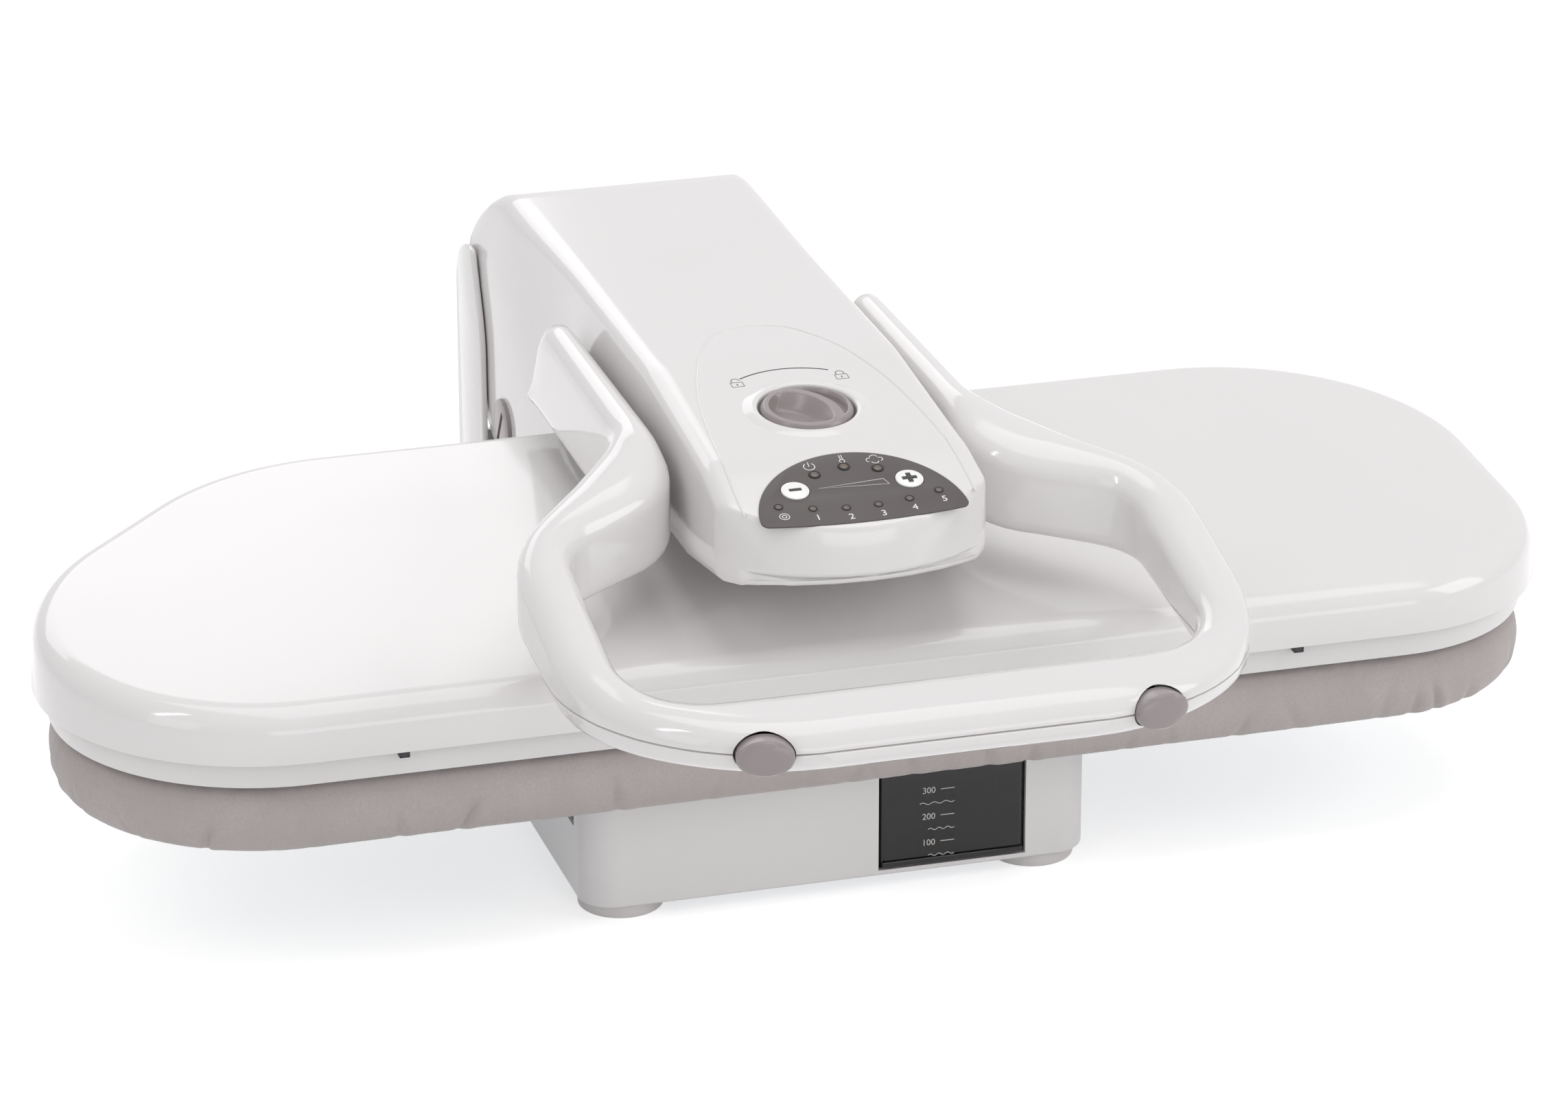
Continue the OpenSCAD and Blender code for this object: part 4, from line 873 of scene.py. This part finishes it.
def handleRings():
    low, high = splitProfile(handle["side"], 10)
    shapes = []
    for a, b in handleEdges():
        wide = (b - a).length
        centre = (a + b) / 2
        tall = max(0.6, chainHeight(high, centre.y) - chainHeight(low, centre.y))
        rx = min(wide * 0.46, handle["roundWide"])
        rz = min(tall * 0.49, handle["roundHigh"])
        points = []
        for quarter, (sx, sz) in enumerate(((1, -1), (1, 1), (-1, 1), (-1, -1))):
            for k in range(7):
                q = math.pi / 2 * (k / 6 if quarter % 2 == 0 else 1 - k / 6)
                x = sx * (wide / 2 - rx + rx * math.sin(q))
                z = sz * (tall / 2 - rz + rz * math.cos(q))
                spot = centre + (b - a).normalized() * x
                top, bottom = chainHeight(high, spot.y), chainHeight(low, spot.y)
                t = (z + tall / 2) / tall
                points.append((spot.x, spot.y, bottom + max(0.4, top - bottom) * t))
        shapes.append(points)
    return shapes


def buttonPlace(side, depth):  # on the front bar, turned with its curve
    spot = Vector((side * handle["buttonX"], handle["buttonY"] + depth, handle["parting"])) * mm
    return Matrix.Translation(spot) @ Matrix.Rotation(side * math.radians(handle["buttonTurn"]), 4, "Z")


def makeHandle():
    half = loftRings("handle_half", handleRings())
    deleteFaces(half, lambda f: all(abs(v.co.x) < 1e-6 for v in f.verts))
    applyModifier(half, "MIRROR", use_axis=(True, False, False), use_clip=True, merge_threshold=0.0001)
    fixNormals(half)
    for side in (-1, 1):
        wide, high = handle["holeHalf"]
        cutter = drum("button_cut", (0, 0, 0), wide, 30, "Y", 40)
        placeOn(cutter, buttonPlace(side, 4) @ Matrix.Diagonal((1, 1, high / wide, 1)))
        cutAway(half, cutter)
    upper = copyPiece(half, "handle_top_shell")
    for piece, up in ((upper, True), (half, False)):
        z = handle["parting"] + (handle["gap"] / 2 if up else -handle["gap"] / 2)
        startEdit(piece, "FACE")
        bpy.ops.mesh.bisect(plane_co=(0, 0, z * mm), plane_no=(0, 0, 1), use_fill=True,
                            clear_inner=up, clear_outer=not up)
        endEdit()
        roundEdges(piece, 0.4, 2, 70)
    half.name = half.data.name = "handle_bottom_shell"
    dress(upper, "handle", glossAbs, ["handle_upper"], 50)
    dress(half, "handle", glossAbs, ["handle_lower"], 50)
    wide, high = handle["capHalf"]
    for side, body in ((-1, "steam_left"), (1, "steam_right")):
        name = "steam_button_" + ("left" if side < 0 else "right")
        button = drum(name + "_cap", (0, 0, 0), wide, handle["capDeep"], "Y", 48)
        stepIn(button, lambda f: f.normal.y < -0.9,
               [(1.2, (0, -0.9, 0)), (3.5, (0, -0.5, 0)), (4, (0, -0.2, 0))])
        placeOn(button, buttonPlace(side, handle["capBack"]) @ Matrix.Diagonal((1, 1, high / wide, 1)))
        roundEdges(button, 0.5, 2, 50)
        dress(button, body, greyAbs, [name])


makeHandle()
print("handle")


# knob, panel and signs

panel = {"place": tilted((0, -122, 187.8), 15.64), "radius": 44.0, "centre": -20.2, "footRadius": 308.0,
         "foot": -22.9, "corner": 3.5, "keyX": 24.2, "keyV": 1.7, "keyRadius": 5.75, "keyHole": 6.0,
         "topLamps": [(0, 14.2), (-13.4, 10.8), (13.4, 10.8)],
         "lowLamps": [(-33.9, -7.7), (-20.4, -11.1), (-6.8, -12.8), (6.8, -12.8), (20.4, -11.1),
                      (33.9, -7.7)]}
knob = {"place": tilted((0, -56.5, 198.7), 5.83), "radius": 19.5, "rise": 1.5, "hole": 23.3,
        "ridgeAt": Vector((-14.8, -7)), "ridgeRadius": 23.6, "well": 6.2, "wellRadius": 15.6,
        "hollow": 3.0, "hollowRadius": 17.2}


def ringAt(radius, z, count=96):
    return [(radius * math.cos(2 * math.pi * k / count), radius * math.sin(2 * math.pi * k / count), z)
            for k in range(count)]


def knobHeight(x, y):  # a well on one side of the curved ridge, a shallow hollow on the other
    out = math.hypot(x, y)
    ridge = knob["ridgeRadius"] - (Vector((x, y)) - knob["ridgeAt"]).length
    rim = knob["wellRadius"] - out
    z = knob["rise"] - 1.6 * ease(17.6, knob["radius"], out) ** 2
    if ridge > 0 and rim > 0:
        z -= knob["well"] * min(1.0, rim / 1.4) ** 0.5 * ease(0.0, 7.0, ridge) ** 0.8
    if ridge < -3.5:
        z -= knob["hollow"] * ease(3.5, 7.0, -ridge) * ease(0, 1.2, knob["hollowRadius"] - out)
    return z + 0.5 * math.exp(-(ridge / 0.6) ** 2) * ease(0, 2, 17.4 - out)


def makeKnob():
    seat = loftRings("knob_ring", [ringAt(r, z) for r, z in (
        (23.1, -8), (23.1, -0.2), (27.5, -0.2), (26.6, 0.12), (25.2, 0.5), (23.6, 0.95), (22.2, 1.1),
        (21.2, 0.9), (20.7, 0.3), (20.5, -0.6), (20.5, -5.4), (4.4, -5.6))])
    placeOn(seat, knob["place"])
    dress(seat, "arm", glossAbs, ["knob_seat"], 60)
    radius = knob["radius"]
    rings = [ringAt(radius - 0.6, -5.0, 120), ringAt(radius, -4.4, 120), ringAt(radius, -0.6, 120)]
    for step in [0.2 * k for k in range(1, 11)] + [2.0 + 0.5 * k for k in range(1, 34)]:
        rings.append([(x, y, knobHeight(x, y)) for x, y, z in ringAt(radius - step, 0, 120)])
    dial = placeOn(loftRings("knob_dial", rings), knob["place"])
    dress(dial, "knob", greyAbs, ["lock_knob"], 60)


def inkStroke(points, wide, closed=False):  # a flat printed line drawn at the origin, in mm
    stroke = sweep("stroke", [(x * mm, y * mm, 0) for x, y in points], wide, 2, closed)
    for vertex in stroke.data.vertices:
        vertex.co.z *= 0.22 / wide
    return stroke


def arcPoints(centre, radius, start, end, count=24):
    return [(centre[0] + radius * math.cos(math.radians(start + (end - start) * k / count)),
             centre[1] + radius * math.sin(math.radians(start + (end - start) * k / count)))
            for k in range(count + 1)]


def sign(name, strokes, place, body, material, lift):
    piece = joinPieces([inkStroke(*stroke) for stroke in strokes], name)
    placeOn(piece, place @ Matrix.Translation((0, 0, lift * mm)))
    return dress(piece, body, material, (), 0)


def plainNumber(text, size, centre):
    bpy.ops.object.text_add()
    figure = named("figure")
    figure.data.body = text
    figure.data.size = size * mm
    figure.data.align_x = "CENTER"
    figure.data.align_y = "CENTER"
    figure.data.extrude = 0.05 * mm
    activate(figure)
    bpy.ops.object.convert(target="MESH")
    return placeOn(settle(bpy.context.object), Matrix.Translation(Vector((*centre, 0)) * mm))


def overlayOutline():
    r, c = panel["radius"], panel["centre"]
    big = panel["foot"] + panel["footRadius"]
    y = (r ** 2 - panel["footRadius"] ** 2 + big ** 2 - c ** 2) / (2 * (big - c))
    x = math.sqrt(r ** 2 - (y - c) ** 2)
    foot = [(t, big - math.sqrt(panel["footRadius"] ** 2 - t ** 2)) for t in range(-37, 38, 2)]
    start = math.degrees(math.atan2(y - c, x)) + 8
    dome = arcPoints((0, c), r, start, 180 - start, 60)
    right = openPath([foot[-1], (x, y, panel["corner"]), dome[0]], 8)
    left = openPath([dome[-1], (-x, y, panel["corner"]), foot[0]], 8)
    return foot[:-1] + [tuple(p) for p in right] + dome[1:-1] + [tuple(p) for p in left][:-1]


def holeAt(piece, place, x, v, radius, deep=8.0):
    cutter = drum("hole", (x, v, 0), radius, 2 * deep, "Z", 40)
    cutAway(piece, placeOn(cutter, place))


def makeFilm():
    film = thicken(flatPlate("panel_film", [(x, y, -0.3) for x, y in overlayOutline()]), (0, 0, 0.75))
    placeOn(film, panel["place"])
    for side in (-1, 1):
        holeAt(film, panel["place"], side * panel["keyX"], panel["keyV"], panel["keyHole"])
    roundEdges(film, 0.18, 2, 60)
    dress(film, "arm", printedFilm, ["panel_overlay"], 40)


def makeKeys():
    v = panel["keyV"]
    for side, body in ((-1, "minus"), (1, "plus")):
        name, x = body + "_key", side * panel["keyX"]
        cap = drum(name + "_cap", (x, v, -2.0), panel["keyRadius"], 5.4, "Z", 64)
        stepIn(cap, lambda f: f.normal.z > 0.9,
               [(0.35, (0, 0, 0.22)), (0.9, (0, 0, 0.14)), (1.6, (0, 0, 0.06))])
        placeOn(cap, panel["place"])
        stem = placeOn(drum("stem", (x, v, -5.0), 2.0, 4.0, "Z", 24), panel["place"])
        dress(joinPieces([cap, stem], name + "_cap"), body, keyAbs, [name], 40)
        strokes = [([(x - 2.6, v), (x + 2.6, v)], 1.8)]
        if side > 0:
            strokes = [([(x - 3.1, v), (x + 3.1, v)], 2.1), ([(x, v - 3.1), (x, v + 3.1)], 2.1)]
        sign(name + "_sign", strokes, panel["place"], body, darkInk, 1.16)


def makeLamps():
    first = drum("lamp_lens", (0, 0, 0.2), 1.5, 1.0, "Z", 24)
    stepIn(first, lambda f: f.normal.z > 0.9, [(0.5, (0, 0, 0.12))])
    bpy.ops.mesh.primitive_torus_add(major_radius=1.75 * mm, minor_radius=0.46 * mm, major_segments=40,
                                     minor_segments=8, location=(0, 0, 0.42 * mm))
    hoop = settle(named("lamp_hoop"))
    lenses, hoops = [], []
    for x, v in panel["topLamps"] + panel["lowLamps"]:
        grow = 1.18 if (x, v) in panel["topLamps"] else 0.92
        for source, made in ((first, lenses), (hoop, hoops)):
            spot = Matrix.Translation(Vector((x, v, 0)) * mm) @ Matrix.Scale(grow, 4)
            made.append(placeOn(copyPiece(source, source.name + "_copy"), panel["place"] @ spot))
    for source in (first, hoop):
        bpy.data.objects.remove(source, do_unlink=True)
    dress(joinPieces(lenses, "lamp_lenses"), "arm", lampLens, ["indicator_lamps"], 50)
    dress(joinPieces(hoops, "lamp_hoops"), "arm", lampHoop, (), 60)


def makePanelSigns():
    place = panel["place"]
    wedge = [([(-14.5, 1.5), (13.6, 3.6), (15.2, -0.2)], 0.32, True)]
    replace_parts(sign("wedge_outline", wedge, place, "arm", whiteInk, 0.5), "wedge_mark")
    power = [(arcPoints((-14.0, 16.6), 2.3, 125, 415, 30), 0.42), ([(-14.0, 16.6), (-14.0, 19.6)], 0.42)]
    heat = [(arcPoints((0.4, 18.0), 1.1, 60, 480, 20), 0.4)]
    heat += [([(x, 19.0), (x, 22.0)], 0.4) for x in (0.0, 0.9)]
    cloud = [(arcPoints(*bow), 0.4) for bow in (
        ((13.8, 15.8), 1.5, 190, 350, 10), ((11.5, 16.8), 1.2, 60, 260, 12),
        ((13.8, 18.2), 1.6, 10, 170, 14), ((16.1, 16.8), 1.2, -80, 120, 12))]
    ring = [(arcPoints((-33.2, -14.4), *bow), 0.4, True) for bow in ((2.0, 0, 345, 28), (0.9, 0, 340, 18))]
    sign("panel_signs", power + heat + cloud + ring, place, "arm", whiteInk, 0.5)
    numbers = [plainNumber(str(k + 1), 5.0, (x + 0.6, v - 6.2))
               for k, (x, v) in enumerate(panel["lowLamps"][1:])]
    figures = placeOn(joinPieces(numbers, "panel_numbers"), place @ Matrix.Translation((0, 0, 0.5 * mm)))
    dress(figures, "arm", whiteInk, (), 0)


def makeLockSigns():  # an arc over the knob, between an open and a closed padlock
    arc = [(arcPoints((0, 0), 38, 121, 60, 40), 0.75)]
    locks = []
    for x, v, bowEnd in ((-22.0, 29.2, 2.0), (22.8, 27.0, 0.8)):
        case = [(x - 2.6, v - 3.6), (x + 2.6, v - 3.6), (x + 2.6, v + 0.6), (x - 2.6, v + 0.6)]
        bow = [(x - 1.7, v + 0.8)] + arcPoints((x, v + 2.2), 1.7, 180, 0, 10) + [(x + 1.7, v + bowEnd)]
        locks += [(case, 0.4, True), (bow, 0.4), ([(x, v - 2.2), (x, v - 1.0)], 0.6)]
    sign("lock_arc", arc, knob["place"], "arm", darkInk, 0.06)
    sign("lock_signs", locks, knob["place"], "arm", lineInk, 0.06)


shell = bpy.data.objects["arm_shell"]
holeAt(shell, knob["place"], 0, 0, knob["hole"], 10)
for side in (-1, 1):
    holeAt(shell, panel["place"], side * panel["keyX"], panel["keyV"], panel["keyHole"], 7)
for y, z, radius in ((90, 164, 6.0), (200, 104, 11.0)):
    cutAway(shell, drum("hole", (0, y, z), radius, 200, "X", 40))
makeKnob()
makeFilm()
makeKeys()
makeLamps()
makePanelSigns()
makeLockSigns()
print("knob and panel")


# base, column, feet and tank

housing = {"left": -110.0, "right": 110.0, "front": -107.0, "back": 236.0, "low": 6.0, "high": 56.0,
           "round": 15.0, "wall": 2.5, "postX": 98, "postY": (-59, 188), "footX": 90, "footY": (-87, 216),
           "tankHole": ((16.3, -112, 8.5), (80.9, -100, 53.5)), "hoseHole": (-4, 180, 54),
           "portHole": ((-112, -88, 37), (-108.6, -62, 50.5)),
           # the last box is a thin black sheet on the side pocket's floor, painted shade for its dark inside
           "port": ((-108.9, -87.6, 37.4), (-108.3, -62.4, 50.1))}
column = {"side": [(227, 57.2), (236.4, 57.2), (236.4, 6), (274.8, 6), (274.8, 174, 24), (245, 174, 3),
                   (229, 138, 60), (227, 57.2)],
          "cheekX": 66.6, "cheekWall": 2.8, "rear": ((-66.8, 270.8, 7), (66.8, 274.4, 76)),
          "front": ((-66.8, 236.8, 7), (66.8, 240.3, 56)), "cordHole": (0, 273, 30)}
tank = {"low": (16.6, -107.0, 8.9), "high": (80.6, 43.0, 53.1), "wall": 2.0, "round": 3.0,
        "capHole": (48.6, -73, 53), "valveHole": (48.6, 43, 18),
        "lip": ((17.6, -107.9, 9.6), (79.6, -106.6, 12.2)),
        "rib": ((41.2, -104.8, 11.2), (49.6, -103.6, 51.0)),
        "step": ((66.4, -104.8, 11.2), (67.4, -103.6, 51.0)),
        "levels": [(42.6, "300"), (30.7, "200"), (18.8, "100")], "lineX": (43.4, 49.4),
        "waveFrom": (34.2, 38.0, 38.0), "waveUnder": 6.0, "waveHigh": 0.45, "numberX": 38.2}
hinge = {"x": 65.9, "y": 200, "z": 104, "radius": 13, "slotTurn": 30}


def makeBase():
    corners = [(housing[x], housing[y], housing["round"]) for x, y in (
        ("left", "front"), ("right", "front"), ("right", "back"), ("left", "back"))]
    shell = roundedPlate("base_shell", corners, lambda a, b: (a, b, housing["low"]), 14)
    thicken(shell, (0, 0, housing["high"] - housing["low"]))
    roundEdges(shell, 1.2, 3, 60)
    inner = roundedPlate("inner", insetCorners(corners, housing["wall"]), lambda a, b: (a, b, 0), 14)
    cutAway(shell, thicken(inner, (0, 0, housing["high"] - housing["wall"])))
    cutAway(shell, block("cut", *housing["tankHole"]))
    cutAway(shell, block("cut", *housing["portHole"], 0.8))
    cutAway(shell, drum("cut", housing["hoseHole"], 5.5, 12))
    dress(shell, "base", satinAbs, ["base_housing"], 40)
    # a thin black sheet on the side pocket's floor: painted shade that makes the pocket look dark
    dress(block("side_pocket_shade", *housing["port"]), "base", blackNylonAndPaintedShade, (), 0)
    for x in (-1, 1):
        for y in housing["postY"]:
            post = drum("screw_post", (x * housing["postX"], y, 31), 4.5, 45, "Z", 24)
            dress(post, "base", satinAbs, (), 40)
    frontFoot, rearFoot = housing["footY"]
    foot = drum("foot_front_left", (-housing["footX"], frontFoot, 3), 18, 6, "Z", 72)
    roundEdges(foot, 0.9, 3, 60)
    startEdit(foot, "FACE")
    pick(foot, "FACE", lambda f: f.normal.z < -0.99)
    bpy.ops.mesh.inset(thickness=5 * mm)
    bpy.ops.mesh.extrude_region_move()
    bpy.ops.transform.translate(value=(0, 0, 1.4 * mm))
    endEdit()
    across, back = 2 * housing["footX"], rearFoot - frontFoot
    feet = [foot] + [copyPiece(foot, "foot_" + name, shift) for name, shift in (
        ("front_right", (across, 0, 0)), ("rear_left", (0, back, 0)), ("rear_right", (across, back, 0)))]
    for piece in feet:
        dress(piece, "base", greyRubber, ["rubber_feet"] if piece is foot else (), 40)


def makeColumn():
    outline = openPath(column["side"], 10)
    plate = flatPlate("column_cheek", [(column["cheekX"], p[0], p[1]) for p in outline[:-1]])
    cheek = thicken(plate, (column["cheekWall"], 0, 0))
    roundEdges(cheek, 1.1, 3, 40)
    other = mirrorX(cheek, "column_cheek_left")
    rear = block("column_rear", *column["rear"], 0.6)
    cutAway(rear, drum("cut", column["cordHole"], 7.1, 12, "Y"))
    front = block("column_front", *column["front"])
    dress(joinPieces([cheek, other, rear, front], "column_shell"), "base", glossAbs,
          ["rear_column"], 40)


def makeTank():
    low, high = Vector(tank["low"]), Vector(tank["high"])
    case = block("tank_case", low, high)
    roundEdges(case, tank["round"], 4, 60)
    wall = Vector((1, 1, 1)) * tank["wall"]
    cutAway(case, block("cut", low + wall, high - wall, 1.5))
    cutAway(case, drum("cut", tank["capHole"], 12, 8))
    cutAway(case, drum("cut", tank["valveHole"], 5, 8, "Y"))
    dress(case, "tank", tankAcrylic, ["water_tank"], 40)
    lip = block("tank_lip", *tank["lip"], 0.5)
    rib = block("tank_rib", *tank["rib"], 0.4)
    step = block("tank_step", *tank["step"], 0.2)
    dress(lip, "tank", tankAcrylic, (), 40)
    dress(joinPieces([rib, step], "tank_rib"), "tank", tankRib, (), 40)
    upright = Matrix.Translation((0, tank["low"][1] * mm, 0)) @ Matrix.Rotation(math.pi / 2, 4, "X")
    strokes, numbers = [], []
    a, b = tank["lineX"]
    for (z, text), first in zip(tank["levels"], tank["waveFrom"]):
        strokes.append(([(a, z), (b, z)], 0.42))
        line = z - tank["waveUnder"]
        wave = [(first + (b - first) * k / 48, line + tank["waveHigh"] * math.sin(2 * math.pi * k / 16))
                for k in range(49)]
        strokes.append((wave, 0.36))
        numbers.append(plainNumber(text, 3.9, (tank["numberX"], z - 0.2)))
    sign("tank_scale", strokes, upright, "tank", scaleInk, 0.04)
    figures = placeOn(joinPieces(numbers, "tank_numbers"), upright @ Matrix.Translation((0, 0, 0.04 * mm)))
    dress(figures, "tank", scaleInk, (), 0)


def makeHingeCaps():
    x, y, z = hinge["x"], hinge["y"], hinge["z"]
    cap = drum("hinge_cap_right", (x, y, z), hinge["radius"], 3.0, "X", 64)
    stepIn(cap, lambda f: f.normal.x > 0.9, [(1.4, (0.45, 0, 0)), (3, (0.3, 0, 0))])
    slot = block("cut", (x + 1.1, -1.6, -9), (x + 4.1, 1.6, 9))
    cutAway(cap, placeOn(slot, tilted((0, y, z), hinge["slotTurn"])))
    plug = drum("plug", (63, y, z), 10.8, 6, "X", 48)
    cap = joinPieces([cap, plug], "hinge_cap_right")
    twin = mirrorX(cap, "hinge_cap_left")
    dress(cap, "arm", greyAbs, ["hinge_caps"], 40)
    dress(twin, "arm", greyAbs, (), 40)


makeBase()
makeColumn()
makeTank()
makeHingeCaps()
print("base, column and tank")
